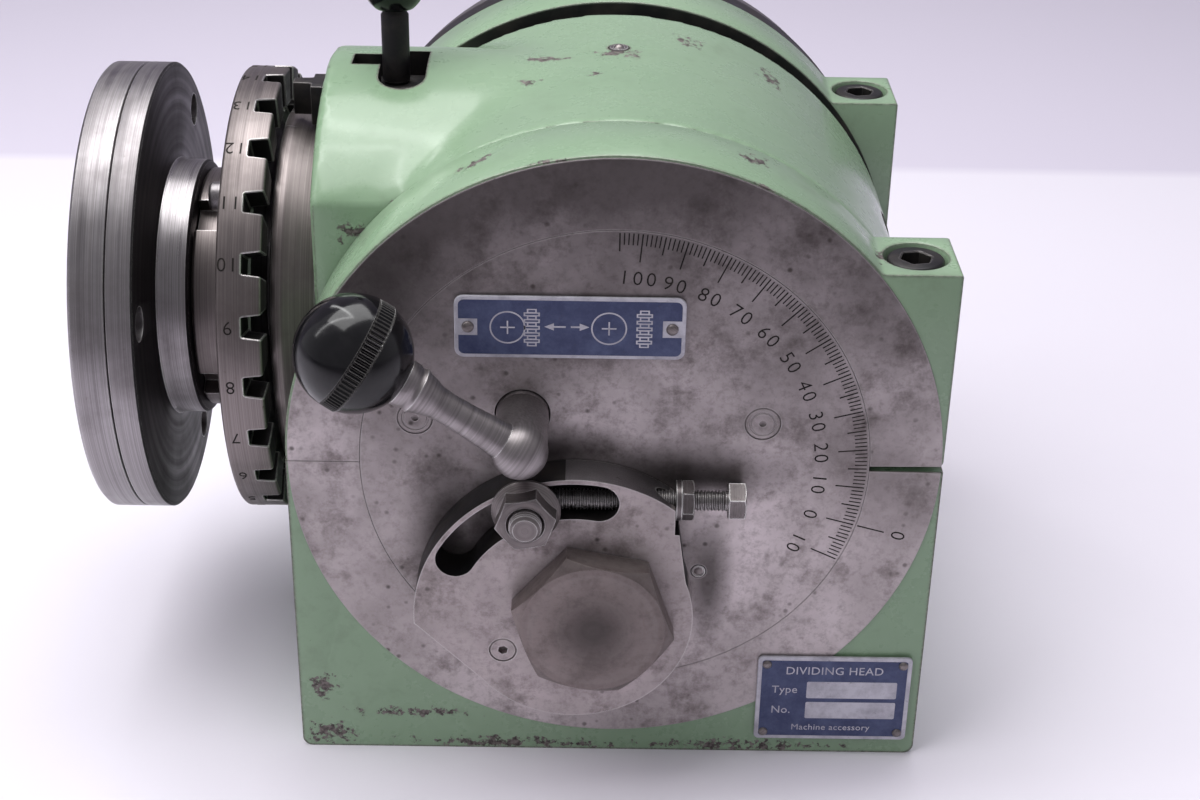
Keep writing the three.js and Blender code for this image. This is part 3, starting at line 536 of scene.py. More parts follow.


# painted shadow: dark spots on the graduated face around the throw-out plate and behind its slot
facePaintedShadows = [([20, -82, 98], [42, 8, 12]), ([-48, -82, 80], [13, 8, 34]), ([28, -82, 62], [8, 6, 24]),
             ([-20, -82, 105], [30, 8, 10]), ([-36, -82, 82], [17, 4, 17]), ([-12, -82, 94], [24, 4, 9])]
paintFinish = makePaint("greenPaint", greenPaint, greenPaint["marks"])
# dark finish for grime, black paint and painted shade in slots, grooves and the gap before the rear ring
grooveFinish = makeBlacked("blackGrimeAndPaintedShade", {**blackedSteel, "worn": tone(0.1, 0.12, 0.09)}, 0.4)
faceFinish = makeIron("graduatedIron", ironFace, (0, 0, 100), shadeSpot=facePaintedShadows)
capIronFinish = makeIron("hexCapIron", {"colour": tone(0.235, 0.190, 0.185), "dark": tone(0.11, 0.088, 0.085),
                                        "rough": 0.46, "wear": 0.35, "edge": tone(0.34, 0.29, 0.28)}, (-5.5, 0, 58), ringDepth=1.2,
                         shadeSpot=[([-5.5, -103, 58], [15, 6, 15])])
castFinish = makeIron("castPlateIron", {"colour": tone(0.54, 0.475, 0.48), "dark": tone(0.26, 0.225, 0.225),
                                        "rough": 0.55}, (-11, 0, 56), ringDepth=0.05)
spindleSteel = makeSteel("turnedSpindleSteel", brightSteel, (0, 0, 116))
sideSteel = makeSteel("turnedSideSteel", {**brightSteel, "rough": 0.32}, (0, 0, 100), axis=(0, 1, 0))
leverSteel = makeSteel("leverSteel", {**brightSteel, "colour": tone(0.37, 0.34, 0.345), "rough": 0.33},
                       (-26, -103, 116), axis=(-0.834, 0, 0.551), fineness=1500.0)
smallSteel = makeSteel("smallSteel", {**brightSteel, "colour": tone(0.29, 0.26, 0.255), "rough": 0.36},
                       (-24.6, 0, 92.6), axis=(0, 1, 0), fineness=2200.0)
boltSteel = makeSteel("stopScrewSteel", {**brightSteel, "colour": tone(0.24, 0.215, 0.215), "dark": tone(0.06, 0.05, 0.05), "rough": 0.3},
                      (0, -88.2, 92.6), axis=(1, 0, 0), fineness=2200.0)
blackFinish = makeBlacked("blackedSteel", blackedSteel)
coverFinish = makeBlacked("coverEnamel", {**blackedSteel, "rough": 0.34}, 0.45)
# painted shade: a dark copy of the steel for faces turned away from the light, the flange backs and the index plate's
# notch hollows
shadedSteel = makeSteel("paintedShadeSteel", {**brightSteel, "colour": tone(0.062, 0.055, 0.06),
                                           "dark": tone(0.022, 0.02, 0.021), "rough": 0.42}, (0, 0, 116))
collarSteel = makeSteel("oiledCollarSteel", {**brightSteel, "colour": tone(0.25, 0.22, 0.215),
                                             "dark": tone(0.085, 0.07, 0.068), "rough": 0.3}, (0, 0, 116))
phenolic = makePhenolic()
bronzeFinish = makeBronze()
whiteSheet = makePrint("plateBorder", tone(0.55, 0.54, 0.60), tone(0.36, 0.35, 0.40), 0.32)
blueSheet = makePrint("plateField", tone(0.034, 0.045, 0.118), tone(0.085, 0.105, 0.20), 0.32)
engraved = makeBlacked("engravedMarks", {**blackedSteel, "colour": tone(0.012, 0.010, 0.009), "rough": 0.7}, 0.0)
print("stage: finishes ready")

for nodeName, finish in (
        ("front_bearing_bush", bronzeFinish), ("rear_bearing_bush", bronzeFinish), ("worm_wheel", bronzeFinish),
        ("front_worm_bush", bronzeFinish), ("rear_worm_bush", bronzeFinish), ("spindle_lock_pad", bronzeFinish),
        ("spindle_spacer", spindleSteel), ("wheel_nut", spindleSteel), ("tail_nut", spindleSteel),
        ("worm_shaft", sideSteel), ("worm_gear", sideSteel), ("crank_gear", sideSteel),
        ("eccentric_sleeve", sideSteel), ("crank_shaft", sideSteel), ("front_cap_bolt", blackFinish),
        ("rear_cap_bolt", blackFinish)):
    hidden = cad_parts[nodeName]
    hidden.data.materials.clear()
    hidden.data.materials.append(finish)

# ---- base casting, its bare face rings and its caps ----
casting = {"half": 93, "bore": 72, "outer": 93, "inner": 55, "paintY": -81.6, "bossR": 92.3, "corner": 3,
           "split": (99, 101), "hairline": (99.95, 100.05), "lugX": 70, "lugTop": 160, "screwX": 81.7,
           "saddle": (22, 94.5), "edge": 0.9}


def lowerOutline():
    half, corner = casting["half"], casting["corner"]
    start = math.degrees(math.asin((casting["split"][0] - swivelHeight) / casting["bore"]))
    return (arc(-half + corner, corner, corner, 180, 270, 5) + arc(half - corner, corner, corner, 270, 360, 5)
            + [(half, casting["split"][0])] + arc(0, swivelHeight, casting["bore"], start, -179.96, 72)
            + [(-half, casting["hairline"][0])])


def upperOutline():
    meet = math.degrees(math.asin((casting["lugTop"] - swivelHeight) / casting["outer"]))
    return (arc(0, swivelHeight, casting["outer"], 179.97, meet, 72)
            + [(casting["half"], casting["lugTop"]), (casting["half"], casting["split"][1])]
            + arc(0, swivelHeight, casting["bore"], 0.8, 179.96, 72))


def bareRing(name, start, end):
    outline = (arc(0, swivelHeight, casting["bossR"], start, end, 90)
               + arc(0, swivelHeight, casting["bore"] - 0.02, end, start, 90))
    return soften(slab(name, outline, frontFace, casting["paintY"] + 0.3), 0.1, 40, 1)


def makeBase():
    inner, saddle = casting["inner"], casting["saddle"]
    body = slab("baseCasting", lowerOutline(), casting["paintY"], -inner)
    rear = slab("rearPedestal", lowerOutline(), inner, 82)
    floor = block("saddleFloor", (-93, -inner - 1, 0), (93, inner + 1, saddle[0]))
    carve(floor, turned("saddleCut", rod(-inner, inner, saddle[1]), "Y", (0, 0, swivelHeight), 128))
    carve(body, rear, floor, operation="UNION")
    tools = []
    for side in (-1, 1):
        y = side * 68.5
        tools.append(turned("tapHole", rod(60, 101, 5.3), "Z", (casting["screwX"], y, 0), 32))
        tools.append(turned("boltPocket", rod(-1, 62, 7.3), "Z", (-82.5, y, 0), 40))
        tools.append(turned("boltHole", rod(61, 101, 4.6), "Z", (-82.5, y, 0), 32))
        tools.append(block("tenonSlot", (-8, y - 9, -1), (8, y + 9, 4)))
    carve(body, *tools)
    soften(body, casting["edge"])
    fit(body, "base", [paintFinish, faceFinish], ["base"])
    paintFaces(body, 1, lambda at, normal: at.z < 0.2 and normal.z < -0.9)
    fit(bareRing("lowerFaceRing", -0.62, -179.97), "base", faceFinish, ())


def makeCap(name, node, y0, y1, bare):
    cap = slab(name, upperOutline(), y0, y1)
    y = (min(y0, -82) + y1) / 2 if bare else (y0 + y1) / 2
    x = casting["screwX"]
    carve(cap, turned("headPocket", rod(149.2, 165, 9), "Z", (x, y, 0), 48),
          turned("screwHole", rod(90, 150, 5.6), "Z", (x, y, 0), 32))
    soften(cap, casting["edge"])
    fit(cap, "base", paintFinish, [node])
    if bare:
        fit(bareRing("upperFaceRing", 0.62, 179.97), "base", faceFinish, ())


def makeClampScrew(name, node, y):
    settings = {"head": 8, "seat": 149.5, "top": 159.5, "key": 8, "shank": 5, "end": 66}
    screw = turned(name, [[settings["end"], 0], [settings["end"], 4.2], [settings["end"] + 1, 5],
                          [settings["seat"], 5], [settings["seat"], settings["head"]],
                          [settings["top"] - 0.7, settings["head"]], [settings["top"], settings["head"] - 0.7],
                          [settings["top"], 0]], "Z", (casting["screwX"], y, 0), 64)
    key = slab("keyHole", hexagon(casting["screwX"], y, settings["key"], 12), settings["top"] - 5.5, 170, "Z")
    carve(screw, key)
    soften(screw, 0.3, 40, 1)
    fit(screw, "base", blackFinish, [node])


makeBase()
makeCap("frontRingCap", "front_ring_cap", casting["paintY"], -55, True)
makeCap("rearRingCap", "rear_ring_cap", 55, 82, False)
makeClampScrew("frontClampScrew", "front_clamp_screw", -68.5)
makeClampScrew("rearClampScrew", "rear_clamp_screw", 68.5)
print("stage: base and caps")

# ---- swivelling drum with its nose housing ----
drum = {"radius": 92.7, "front": -54.7, "rear": 44, "grooveR": 87, "trunnionR": 71.7, "noseR": 75, "noseEnd": -86.5,
        "noseBore": 49, "tailBore": 26, "voxel": 1.7, "blendReach": 11, "blendPasses": 45}


def makeDrumHousing():
    front, rear = drum["front"], drum["rear"]
    body = turned("drumHousing", rod(front, rear, drum["radius"]), "Y", (0, 0, swivelHeight), 160)
    noseShape = turned("noseShape", rod(drum["noseEnd"], 4, drum["noseR"]), "X", (0, 0, spindleHeight), 128)
    slice_ = block("noseSlice", (-110, front, 20), (10, -front, 220))
    carve(noseShape, slice_, operation="INTERSECT")
    carve(body, noseShape, operation="UNION")
    carve(body, block("noseTrim", (-110, -60, 0), (drum["noseEnd"], 60, 220)))
    pick(body)
    remesh = body.modifiers.new("evenSkin", "REMESH")
    remesh.mode = "VOXEL"
    remesh.voxel_size = drum["voxel"] * mm
    bpy.ops.object.modifier_apply(modifier="evenSkin")
    crease = body.vertex_groups.new(name="crease")
    reach = drum["blendReach"]
    for vertex in body.data.vertices:
        x, y, z = vertex.co / mm
        toDrum = abs(math.hypot(x, z - swivelHeight) - drum["radius"])
        toNose = abs(math.hypot(y, z - spindleHeight) - drum["noseR"])
        onSide = abs(y) > 54.2 or x < drum["noseEnd"] + 2.5 or y > rear - 2.5
        weight = 0.0 if onSide or x > 12 else max(0.0, 1 - max(toDrum, toNose) / reach)
        crease.add([vertex.index], weight, "REPLACE")
    ease = body.modifiers.new("ease", "SMOOTH")
    ease.factor = 0.5
    ease.iterations = 3
    bpy.ops.object.modifier_apply(modifier="ease")
    blend = body.modifiers.new("blend", "SMOOTH")
    blend.factor = 0.9
    blend.iterations = drum["blendPasses"]
    blend.vertex_group = "crease"
    bpy.ops.object.modifier_apply(modifier="blend")
    body.vertex_groups.clear()
    halfSlot, slotMiddle = 6.9, -63.5
    slotShape = [(slotMiddle - halfSlot, 9), *arc(slotMiddle, -12.5, halfSlot, 180, 360, 14), (slotMiddle + halfSlot, 9)]
    tools = [
        turned("noseBore", rod(drum["noseEnd"] - 5, 14, drum["noseBore"]), "X", (0, 0, spindleHeight), 96),
        turned("tailBore", rod(10, 99, drum["tailBore"]), "X", (0, 0, spindleHeight), 64),
        turned("sleeveBore", rod(-60, 60, 22.8), "Y", (-11, 0, 56), 64),
        turned("leverBore", rod(-60, -45, 7.8), "Y", (-26, 0, 116), 32),
        block("plungerWay", (-95, -6.3, 171.7), (-44, 6.3, 184.3)),
        slab("bayonetOpening", slotShape, 173, 205, "Z"),
        block("bayonetArm", (-78.8, -4.6, 175), (-64, 4.6, 205)),
        turned("oilerHole", rod(187, 200, 3.3), "Z", (0, 9, 0), 32),
    ]
    carve(body, *tools)
    fit(body, "swivel", [paintFinish, grooveFinish], ["swivel_body"], 40)

    def inSlot(at, normal):
        inside = math.hypot(at.y, at.z - spindleHeight) < drum["noseR"] - 0.4
        return -83 < at.x < -40 and at.z > 160 and -22 < at.y < 12 and inside

    # the walls inside the plunger way and bayonet slot take the dark finish: bare metal, darkened as painted shade
    paintFaces(body, 1, inSlot)


def makeDrumFaces():
    tr = drum["trunnionR"]
    face = turned("graduatedFace", rod(frontFace, drum["front"] - 0.05, tr + 0.2),
                  "Y", (0, 0, swivelHeight), 160)
    carve(face, turned("leverWay", rod(-90, -50, 7.8), "Y", (-26, 0, 116), 48),
          turned("sleeveWay", rod(-90, -50, 22.8), "Y", (-11, 0, 56), 64),
          turned("studWay", rod(-90, -62, 4.9), "Y", (-24.6, 0, 92.6), 32),
          turned("plugWayRight", rod(-90, -76, 5.1), "Y", (41.1, 0, 114), 40),
          turned("plugWayLeft", rod(-90, -76, 5.06), "Y", (-56, 0, 114.3), 40),
          turned("oilerWay", rod(-90, -78, 2.3), "Y", (25, 0, 65), 24))
    soften(face, 0.1, 40, 1)
    fit(face, "swivel", faceFinish, ())
    # the dark band and the thin dark disc at 54.1 to 54.8 stand for grime and painted shadow in the gap before the rear
    # ring
    band = turned("drumGroove", [[drum["rear"] - 0.2, 0], [drum["rear"] - 0.2, drum["grooveR"]],
                                 [54.1, drum["grooveR"]], [54.1, drum["radius"]], [54.8, drum["radius"]], [54.8, tr], [81.9, tr],
                                 [81.9, 0]],
                  "Y", (0, 0, swivelHeight), 160)
    carve(band, turned("crankWay", rod(60, 90, 8.3), "Y", (0, 0, swivelHeight), 32),
          turned("sleeveWay", rod(40, 90, 22.8), "Y", (-11, 0, 56), 64))
    fit(band, "swivel", grooveFinish, ())


makeDrumHousing()
makeDrumFaces()
print("stage: drum housing")

# ---- degree scale: strokes and numerals as thin dark strips on the face ----
scale = {"outer": 71.2, "short": 3.4, "medium": 5.3, "long": 8.2, "zeroAt": -15, "low": -10, "high": 105,
         "numeralR": 58.0, "numeral": 4.1, "stroke": 0.34, "proud": 0.03}


def flatText(name, words, height, matrix, thick=0.03, tight=1.0, thin=0.05):
    clearSelection()
    bpy.ops.object.text_add(location=(0, 0, 0))
    letters = bpy.context.object
    letters.name = name
    letters.data.body = words
    letters.data.align_x = "CENTER"
    letters.data.align_y = "CENTER"
    letters.data.size = height * mm / 0.7
    letters.data.space_character = tight
    letters.data.extrude = thick * mm
    letters.data.resolution_u = 3
    letters.data.offset = -thin * mm
    bpy.ops.object.convert(target="MESH")
    letters = bpy.context.object
    bpy.ops.object.mode_set(mode="EDIT")
    bpy.ops.mesh.select_all(action="SELECT")
    bpy.ops.mesh.remove_doubles(threshold=1e-7)
    bpy.ops.mesh.normals_make_consistent(inside=False)
    bpy.ops.object.mode_set(mode="OBJECT")
    return settle(letters, matrix)


def facing(x, y, z, readAlong, up):
    out = Vector(readAlong).cross(Vector(up))
    turn = Matrix((Vector(readAlong), Vector(up), out)).transposed().to_4x4()
    return Matrix.Translation(Vector((x, y, z)) * mm) @ turn


def stroke(name, angle, outer, inner, width):
    c, s = math.cos(math.radians(angle)), math.sin(math.radians(angle))
    half = width / 2
    corners = [(inner, -half), (outer, -half), (outer, half), (inner, half)]
    outline = [(r * c - w * s, swivelHeight + r * s + w * c) for r, w in corners]
    return slab(name, outline, frontFace - scale["proud"], frontFace + 0.1)


def makeScale():
    strokes = []
    for value in range(scale["low"], scale["high"] + 1):
        length = scale["long"] if value % 10 == 0 else scale["medium"] if value % 5 == 0 else scale["short"]
        wide = scale["stroke"] * (1.15 if value % 5 == 0 else 1.0)
        strokes.append(stroke("stroke", value + scale["zeroAt"], scale["outer"], scale["outer"] - length, wide))
    numerals = []
    for value in range(-10, 101, 10):
        angle = value + scale["zeroAt"]
        x, z = polar(0, swivelHeight, scale["numeralR"], angle)
        out = (math.cos(math.radians(angle)), 0, math.sin(math.radians(angle)))
        along = (math.sin(math.radians(angle)), 0, -math.cos(math.radians(angle)))
        where = facing(x, frontFace - 0.01, z, along, out)
        numerals.append(flatText("numeral", str(abs(value)), scale["numeral"], where, tight=1.25))
    fit(unite("degreeStrokes", strokes), "swivel", engraved, ())
    fit(unite("degreeNumerals", numerals), "swivel", engraved, ())
    mark = stroke("zeroMark", scale["zeroAt"], 80.5, 72.4, 0.4)
    x, z = polar(0, swivelHeight, 84.5, scale["zeroAt"])
    zero = flatText("zeroNumeral", "0", 4.2, facing(x, frontFace - 0.01, z, (-0.25882, 0, -0.96593), (0.96593, 0, -0.25882)))
    fit(unite("zeroMark", [mark, zero]), "base", engraved, ())


makeScale()
print("stage: degree scale")

# ---- nose: bearing cap, notched index plate, slotted nut, hub and flange ----
spindleAxis = (0, 0, spindleHeight)


def makeBearingCap():
    cap = turned("noseBearingCap", [[-99.7, 30.5], [-99.7, 55.4], [-99.2, 56.1], [-98.4, 56.4], [-95.6, 56],
                                    [-92.8, 54.6], [-86.8, 54.4], [-86.8, 48.6], [-78, 48.6],
                                    [-78, 30.5], [-99.7, 30.5]], "X", spindleAxis, 128)
    carve(cap, block("toothWay", (-101, -6.4, 171.6), (-86, 6.4, 190)))
    soften(cap, 0.3, 40)
    fit(cap, "swivel", collarSteel, ["nose_bearing_cap"])


indexing = {"left": -112.9, "right": -100.1, "radius": 68.5, "notches": 24, "deep": 5.6, "mouth": 7.1,
            "bottom": 5.7, "numeral": 4.0, "numeralX": -109.5, "topNumber": 14}


def makeIndexPlate():
    s = indexing
    plate = turned("indexPlate", [[s["left"], 25.5], [s["left"], s["radius"] - 0.7],
                                  [s["left"] + 0.7, s["radius"]], [s["right"] - 0.5, s["radius"]],
                                  [s["right"], s["radius"] - 0.5], [s["right"], 58], [s["right"] - 4.9, 58],
                                  [s["right"] - 4.9, 25.5], [s["left"], 25.5]], "X", spindleAxis, 192)
    floorX = s["right"] - s["deep"]
    shape = [(floorX, -s["bottom"] / 2), (s["right"] + 1, -s["mouth"] / 2 - 0.1),
             (s["right"] + 1, s["mouth"] / 2 + 0.1), (floorX, s["bottom"] / 2)]
    first = slab("notchTool", shape, 56, 72, "Z")
    cutters = []
    for k in range(s["notches"]):
        spin = Matrix.Translation((0, 0, spindleHeight * mm)) @ Matrix.Rotation(2 * math.pi * k / s["notches"], 4, "X")
        cutters.append(copyOf(first, "notchCutter", spin))
    bpy.data.objects.remove(first)
    carve(plate, unite("notchCutters", cutters))
    soften(plate, 0.25, 40, 1)
    fit(plate, "spindle", [collarSteel, shadedSteel], ["index_plate"])
    # painted shade: the plate's right face and notch hollows take the dark copy of the steel
    paintFaces(plate, 1, lambda at, normal: at.x > s["left"] + 1
               and math.hypot(at.y, at.z - spindleHeight) < s["radius"] - 0.6)
    numerals = []
    for k in range(s["notches"]):
        angle = math.radians(360 * k / s["notches"])
        number = (s["topNumber"] - 1 - k) % s["notches"] + 1
        radius = s["radius"] + 0.01
        y, z = -radius * math.sin(angle), spindleHeight + radius * math.cos(angle)
        where = facing(s["numeralX"], y, z, (-1, 0, 0), (0, -math.cos(angle), -math.sin(angle)))
        numerals.append(flatText("notchNumeral", str(number), s["numeral"], where, 0.05, 1.15, 0.05))
    fit(unite("notchNumerals", numerals), "spindle", engraved, ())


def makeNoseNut():
    nut = turned("slottedNoseNut", [[-125.8, 25.4], [-125.8, 36.2], [-125, 37], [-114.1, 37], [-113.3, 36.2],
                                    [-113.3, 25.4], [-125.8, 25.4]], "X", spindleAxis, 128)
    slots = []
    for k in range(4):
        angle = math.radians(30 + 90 * k)
        tool = block("spannerSlot", (-127, -5.5, 31.5), (-112, 5.5, 45))
        spin = Matrix.Translation((0, 0, spindleHeight * mm)) @ Matrix.Rotation(angle - math.pi / 2, 4, "X")
        slots.append(settle(tool, spin))
    carve(nut, *slots)
    soften(nut, 0.35, 40)
    fit(nut, "spindle", collarSteel, ["slotted_nose_nut"])
    y, z = polar(0, spindleHeight, 48, 122)
    screw = turned("indexPlateScrew", [[-119.5, 0], [-119.5, 3.4], [-118.7, 4.2], [-113.3, 4.2], [-113.3, 0]],
                   "X", (0, y, z), 48)
    carve(screw, slab("screwKey", hexagon(y, z, 4), -122, -117.3, "X"))
    soften(screw, 0.25, 40, 1)
    fit(screw, "spindle", spindleSteel, ["index_plate_screw"])


chuckFlange = {"radius": 69.2, "left": -154.3, "seam": -143.8, "right": -136, "hubR": 39.5, "hubEnd": -126.2,
               "holeR": 5, "holeCircle": 60, "firstHole": 46, "screwCircle": 33, "firstScrew": 106}


def makeFlange():
    s = chuckFlange
    radius, seam = s["radius"], s["seam"]
    back = turned("spindleFlange", [[seam + 0.15, 22.5], [seam + 0.15, radius - 0.25], [seam + 0.4, radius],
                                    [s["right"] - 0.6, radius], [s["right"], radius - 0.6], [s["right"], 41],
                                    [s["right"] + 0.5, 40], [s["right"] + 1.5, s["hubR"]], [s["hubEnd"] - 0.8, s["hubR"]],
                                    [s["hubEnd"], s["hubR"] - 0.8], [s["hubEnd"], 25.7], [-127.3, 25.7],
                                    [-127.3, 22.5], [seam + 0.15, 22.5]], "X", spindleAxis, 192)
    front = turned("facePlate", [[s["left"], 18.5], [s["left"], radius - 0.8], [s["left"] + 0.8, radius],
                                 [seam - 0.4, radius], [seam - 0.15, radius - 0.25], [seam - 0.15, 18.5],
                                 [s["left"], 18.5]], "X", spindleAxis, 192)
    for k in range(3):
        y, z = polar(0, spindleHeight, s["holeCircle"], s["firstHole"] + 120 * k)
        sy, sz = polar(0, spindleHeight, s["screwCircle"], s["firstScrew"] + 120 * k)
        for plate in (back, front):
            carve(plate, turned("boltHole", rod(-160, -130, s["holeR"]), "X", (0, y, z), 48),
                  turned("screwHole", rod(-160, -132, 3.4), "X", (0, sy, sz), 32))
        carve(front, turned("headPocket", rod(-156, s["left"] + 6, 5.4), "X", (0, sy, sz), 40))
        top = s["left"] + 0.6
        screw = turned(f"flangeScrew{k + 1}", [[top, 0], [top, 4.5], [top + 0.5, 5], [top + 5.1, 5], [top + 5.1, 3],
                                               [-134, 3], [-134, 0]], "X", (0, sy, sz), 48)
        carve(screw, slab("screwKey", hexagon(sy, sz, 5), -156, top + 3, "X"))
        fit(screw, "spindle", blackFinish, [f"flange_screw_{k + 1}"])
    for piece, node in ((back, "spindle_flange"), (front, "face_plate")):
        soften(piece, 0.3, 40, 1)
        fit(piece, "spindle", [spindleSteel, shadedSteel], [node])
        # painted shade: faces turned towards +X take the dark copy of the steel
        paintFaces(piece, 1, lambda at, normal: normal.x > 0.7 and at.x > s["right"] - 1)
    bar = turned("spindleBar", [[-149, 13], [-149, 17.4], [-148.4, 18], [-143.7, 18], [-143.7, 22], [-127, 22],
                                [-127, 25], [-100, 25], [-100, 29.6], [-62, 29.6], [-62, 34], [-50, 34], [-50, 24],
                                [14, 24], [14, 17.7], [66, 17.7], [66, 15], [76.5, 15], [76.5, 9.6], [76, 9],
                                [-80, 9], [-149, 13]], "X", spindleAxis, 96)
    fit(bar, "spindle", spindleSteel, ["spindle"])
    cover = turned("tailCover", [[77, 10.6], [77, 25.6], [80.9, 25.6], [81.5, 25], [81.5, 19], [80.9, 18.4],
                                 [80.9, 13], [81.5, 12.4], [81.5, 10.6], [80.9, 10], [77.6, 10], [77, 10.6]],
                   "X", spindleAxis, 96)
    fit(cover, "swivel", capIronFinish, ["tail_cover"])


makeBearingCap()
makeIndexPlate()
makeNoseNut()
makeFlange()
print("stage: nose and flange")

# ---- throw-out plate, hexagon cap and stop screw ----
eccentric = {"centre": (-11, 56), "front": -94, "back": -82.4, "bigR": 46, "smallR": 34.2, "slotR": 39,
             "slotHalf": 5.6, "slot": (80, 150), "studAt": (-24.6, 92.6), "screwAt": (-31.4, 44.7)}
wormAt = (-5.5, 58)


def makeThrowOutPlate():
    s = eccentric
    cx, cz = s["centre"]
    outline = arc(cx, cz, s["bigR"], 52, 183, 60) + arc(cx, cz, s["smallR"], 219, 382, 70)
    start, end = s["slot"]
    slot = arc(cx, cz, s["slotR"] + s["slotHalf"], start, end, 30)
    slot += arc(*polar(cx, cz, s["slotR"], end), s["slotHalf"], end + 12, end + 168, 13)
    slot += arc(cx, cz, s["slotR"] - s["slotHalf"], end, start, 30)
    slot += arc(*polar(cx, cz, s["slotR"], start), s["slotHalf"], start + 192, start + 348, 13)
    y, studZ = (s["front"] + s["back"]) / 2, s["studAt"][1]
    plate = slab("throwOutPlate", outline, s["front"], s["back"])
    carve(plate, slab("slotTool", slot, s["front"] - 2, s["back"] + 2),
          turned("capWay", rod(-100, -80, 14.5), "Y", (wormAt[0], 0, wormAt[1]), 64),
          turned("plateScrewWay", rod(-100, -80, 4.02), "Y", (s["screwAt"][0], 0, s["screwAt"][1]), 32),
          turned("stopWay", rod(-15, 40, 3.4), "X", (0, y, studZ), 32),
          block("nutSeat", (17.1, -100, studZ - 8), (30, -80, studZ + 12)))
    soften(plate, 0.9, 34, 3)
    fit(plate, "throw_out", [castFinish, grooveFinish, sideSteel], ["throw_out_plate"])

    def onOuterWall(at, normal):
        reach = math.hypot(at.x - cx, at.z - cz)
        return abs(normal.y) < 0.55 and reach > s["slotR"] + s["slotHalf"] + 0.3 and at.z > 50 and at.x < 16

    def inSlotWall(at, normal):
        reach = math.hypot(at.x - cx, at.z - cz)
        return abs(normal.y) < 0.5 and abs(reach - s["slotR"]) < s["slotHalf"] + 0.25 and at.z > 66

    # painted shade on the slot walls, in the dark finish; the outer wall's left part is black paint and its right part
    # bare steel
    paintFaces(plate, 1, inSlotWall)
    paintFaces(plate, 1, lambda at, normal: onOuterWall(at, normal) and math.atan2(at.z - cz, at.x - cx) > 1.62)
    paintFaces(plate, 2, lambda at, normal: onOuterWall(at, normal) and math.atan2(at.z - cz, at.x - cx) <= 1.62)


def chamferedHex(name, axis, at, acrossFlats, low, high, lean, lowCut, highCut, coneAngle=0.55):
    # hexagon prism whose corners are turned off at one or both ends
    corner = acrossFlats / math.sqrt(3)
    cx, cz = (at[0], at[2]) if axis == "Y" else (at[1], at[2])
    body = slab(name, hexagon(cx, cz, acrossFlats, lean), low, high, axis)
    profile = [[low, 0], [low, corner - lowCut], [low + lowCut * coneAngle, corner + 0.2],
               [high - highCut * coneAngle, corner + 0.2], [high, corner - highCut], [high, 0]]
    return carve(body, turned("cornerTurning", profile, axis, at, 128), operation="INTERSECT")


def makeHexCap():
    cap = chamferedHex("wormEndCap", "Y", (wormAt[0], 0, wormAt[1]), 41, -103, -94.3, -11, 3.35, 0.4, 0.85)
    carve(cap, turned("capSpigot", rod(-95, -84, 14), "Y", (wormAt[0], 0, wormAt[1]), 64), operation="UNION")
    soften(cap, 0.35, 26)
    fit(cap, "throw_out", capIronFinish, ["worm_end_cap"], 22)
    x, z = eccentric["screwAt"]
    screw = turned("plateScrew", [[-93.9, 0], [-93.9, 3.5], [-93.5, 3.9], [-83, 3.9], [-83, 0]], "Y", (x, 0, z), 48)
    carve(screw, slab("plateScrewKey", hexagon(x, z, 2.6, 20), -96, -91.5))
    fit(screw, "throw_out", castFinish, ["plate_screw"])


def ridges(start, end, pitch, crest, root):
    points = []
    turns = round((end - start) / pitch)
    for k in range(turns):
        a = start + k * pitch
        points += [[a + 0.06 * pitch, root], [a + 0.44 * pitch, crest], [a + 0.56 * pitch, crest],
                   [a + 0.94 * pitch, root]]
    return points


def makeStopScrew():
    y = (eccentric["front"] + eccentric["back"]) / 2
    z = eccentric["studAt"][1]
    centre = (0, y, z)
    shank = turned("stopScrew", [[-19.4, 0], [-19.4, 2.3]] + ridges(-19, 31, 1.0, 3.0, 2.45)
                   + [[31.2, 2.9], [32.2, 2.9], [32.2, 0]], "X", centre, 32)
    screwHead = chamferedHex("stopHead", "X", centre, 10, 32.0, 36.9, 30, 0.3, 0.9)
    carve(shank, screwHead, operation="UNION")
    fit(shank, "throw_out", boltSteel, ["stop_screw"], 34)
    nut = chamferedHex("stopNut", "X", centre, 10, 18.8, 22.4, 12, 0.8, 0.8)
    washer = turned("stopWasher", rod(17.3, 18.9, 5.7), "X", centre, 64)
    carve(nut, washer, operation="UNION")
    carve(nut, turned("nutBore", rod(10, 30, 3.25), "X", centre, 32))
    soften(nut, 0.15, 40, 1)
    fit(nut, "throw_out", boltSteel, ["stop_screw_nut"])


def makeStud():
    x, z = eccentric["studAt"]
    post = turned("slotStud", [[-106, 0], [-106, 3.4], [-105.6, 3.9], [-105, 4.4]] + ridges(-105, -95, 1.25, 4.6, 4.0)
                  + [[-94.6, 4.6], [-62, 4.6], [-62, 0]], "Y", (x, 0, z), 48)
    soften(post, 0.12, 50, 1)
    fit(post, "swivel", smallSteel, ["slot_stud"], 34)
    nut = chamferedHex("slotFlangeNut", "Y", (x, 0, z), 15, -103, -96.8, 10, 1.3, 0.0)
    skirt = turned("nutSkirt", [[-98.2, 0], [-98.2, 7.2], [-96.4, 9.2], [-95.6, 9.7], [-94.7, 9.7], [-94.3, 9.3],
                                [-94.3, 0]], "Y", (x, 0, z), 64)
    carve(nut, skirt, operation="UNION")
    carve(nut, turned("nutBore", [[-104, 0], [-104, 6], [-102.2, 4.85], [-90, 4.85], [-90, 0]], "Y", (x, 0, z), 48))
    soften(nut, 0.2, 34)
    fit(nut, "swivel", smallSteel, ["slot_flange_nut"])


makeThrowOutPlate()
makeHexCap()
makeStopScrew()
makeStud()
print("stage: throw-out plate and fasteners")

